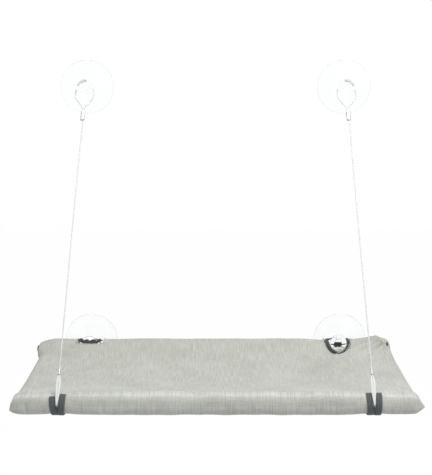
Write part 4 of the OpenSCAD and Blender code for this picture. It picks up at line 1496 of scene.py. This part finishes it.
def make_stage():
    """Floor, lamps and a world that is white where it is seen and plain grey light elsewhere."""
    scene = bpy.context.scene
    scene.view_settings.view_transform = "Standard"
    n = 13
    floor_z = -0.95
    x, y = np.meshgrid(np.linspace(-6, 6, n), np.linspace(-6, 6, n), indexing="ij")
    points = np.stack([x, y, np.full_like(x, floor_z)], -1).reshape(-1, 3)
    cells = grid_cells(n, n)
    floor = put_mesh("floor", points, [cell_corners(cells, n, n)[:, ::-1]])
    floor.data.materials.append(lit_floor())
    world = bpy.data.worlds.new("studio")
    scene.world = world
    world.use_nodes = True
    tree = world.node_tree
    tree.nodes.clear()
    seen = seen_directly(tree)
    plain = add_node(tree, "ShaderNodeBackground", {"Color": (0.93, 0.96, 1, 1), "Strength": 0.53})
    white = add_node(tree, "ShaderNodeBackground", {"Color": (1, 1, 1, 1), "Strength": 1})
    mix = add_node(tree, "ShaderNodeMixShader", None, Fac=(seen, 0), in1=(plain, 0), in2=(white, 0))
    out = tree.nodes.new("ShaderNodeOutputWorld")
    tree.links.new(mix.outputs[0], out.inputs[0])
    add_lamp("key", (0.28, -0.63, 1.17), (0.05, -0.31, -0.2), 1.0, 14.7)
    add_lamp("fill", (1.3, -1.9, 0.8), (0, -0.15, -0.15), 1.4, 3.8)


# Operators

class PERCH_OT_stage(bpy.types.Operator):
    """Make the camera, floor, lamps and world"""
    bl_idname = "perch.stage"
    bl_label = "Stage"

    def execute(self, context):
        make_camera()
        make_stage()
        return {"FINISHED"}


class PERCH_OT_ropes(bpy.types.Operator):
    """Make the two wire ropes"""
    bl_idname = "perch.ropes"
    bl_label = "Wire ropes"

    def execute(self, context):
        make_ropes()
        return {"FINISHED"}


class PERCH_OT_eyes(bpy.types.Operator):
    """Make the white sleeved eyes at the ropes' lower ends"""
    bl_idname = "perch.eyes"
    bl_label = "Wire eyes"

    def execute(self, context):
        make_eyes()
        return {"FINISHED"}


class PERCH_OT_cups(bpy.types.Operator):
    """Make the four clear suction cups"""
    bl_idname = "perch.cups"
    bl_label = "Suction cups"

    def execute(self, context):
        make_cups()
        return {"FINISHED"}


class PERCH_OT_cover(bpy.types.Operator):
    """Make the linen cover with its bound openings and closing flap"""
    bl_idname = "perch.cover"
    bl_label = "Linen cover"

    def execute(self, context):
        make_cover()
        make_bindings()
        make_flap()
        black_nylon()
        # Black nubs at the back corners: painted shade for small openings in the cover
        make_corner_shade_nubs()
        return {"FINISHED"}


class PERCH_OT_elastics(bpy.types.Operator):
    """Make the elastic bands at the front rail and at the lower cups"""
    bl_idname = "perch.elastics"
    bl_label = "Elastic bands"

    def execute(self, context):
        make_front_bands()
        make_rear_bands()
        return {"FINISHED"}


class PERCH_OT_foam(bpy.types.Operator):
    """Make the foam sleeves on the rails"""
    bl_idname = "perch.foam"
    bl_label = "Foam sleeves"

    def execute(self, context):
        make_foam()
        return {"FINISHED"}


class PERCH_OT_frame(bpy.types.Operator):
    """Finish the tubes, elbows, ferrules and fastener strips"""
    bl_idname = "perch.frame"
    bl_label = "Frame finishes"

    def execute(self, context):
        finish_frame()
        return {"FINISHED"}


class PERCH_PT_panel(bpy.types.Panel):
    """The perch's sizes, colours and steps"""
    bl_idname = "PERCH_PT_panel"
    bl_label = "Window cat perch"
    bl_space_type = "VIEW_3D"
    bl_region_type = "UI"
    bl_category = "Perch"

    def draw(self, context):
        for group in (context.scene.perch_sizes, context.scene.perch_colours):
            for name in group.__annotations__:
                self.layout.prop(group, name)
        for step in STEPS:
            self.layout.operator(step.bl_idname)


STEPS = (
    PERCH_OT_stage, PERCH_OT_ropes, PERCH_OT_eyes, PERCH_OT_cups, PERCH_OT_cover, PERCH_OT_elastics,
    PERCH_OT_foam, PERCH_OT_frame,
)
CLASSES = (PerchSizes, PerchColours, *STEPS, PERCH_PT_panel)


def register():
    for cls in CLASSES:
        bpy.utils.register_class(cls)
    bpy.types.Scene.perch_sizes = bpy.props.PointerProperty(type=PerchSizes)
    bpy.types.Scene.perch_colours = bpy.props.PointerProperty(type=PerchColours)


def unregister():
    del bpy.types.Scene.perch_colours
    del bpy.types.Scene.perch_sizes
    for cls in reversed(CLASSES):
        bpy.utils.unregister_class(cls)


def main():
    register()
    bpy.ops.perch.stage()
    bpy.ops.perch.ropes()
    bpy.ops.perch.eyes()
    bpy.ops.perch.cups()
    bpy.ops.perch.cover()
    bpy.ops.perch.elastics()
    bpy.ops.perch.foam()
    bpy.ops.perch.frame()


if __name__ == "__main__":
    main()
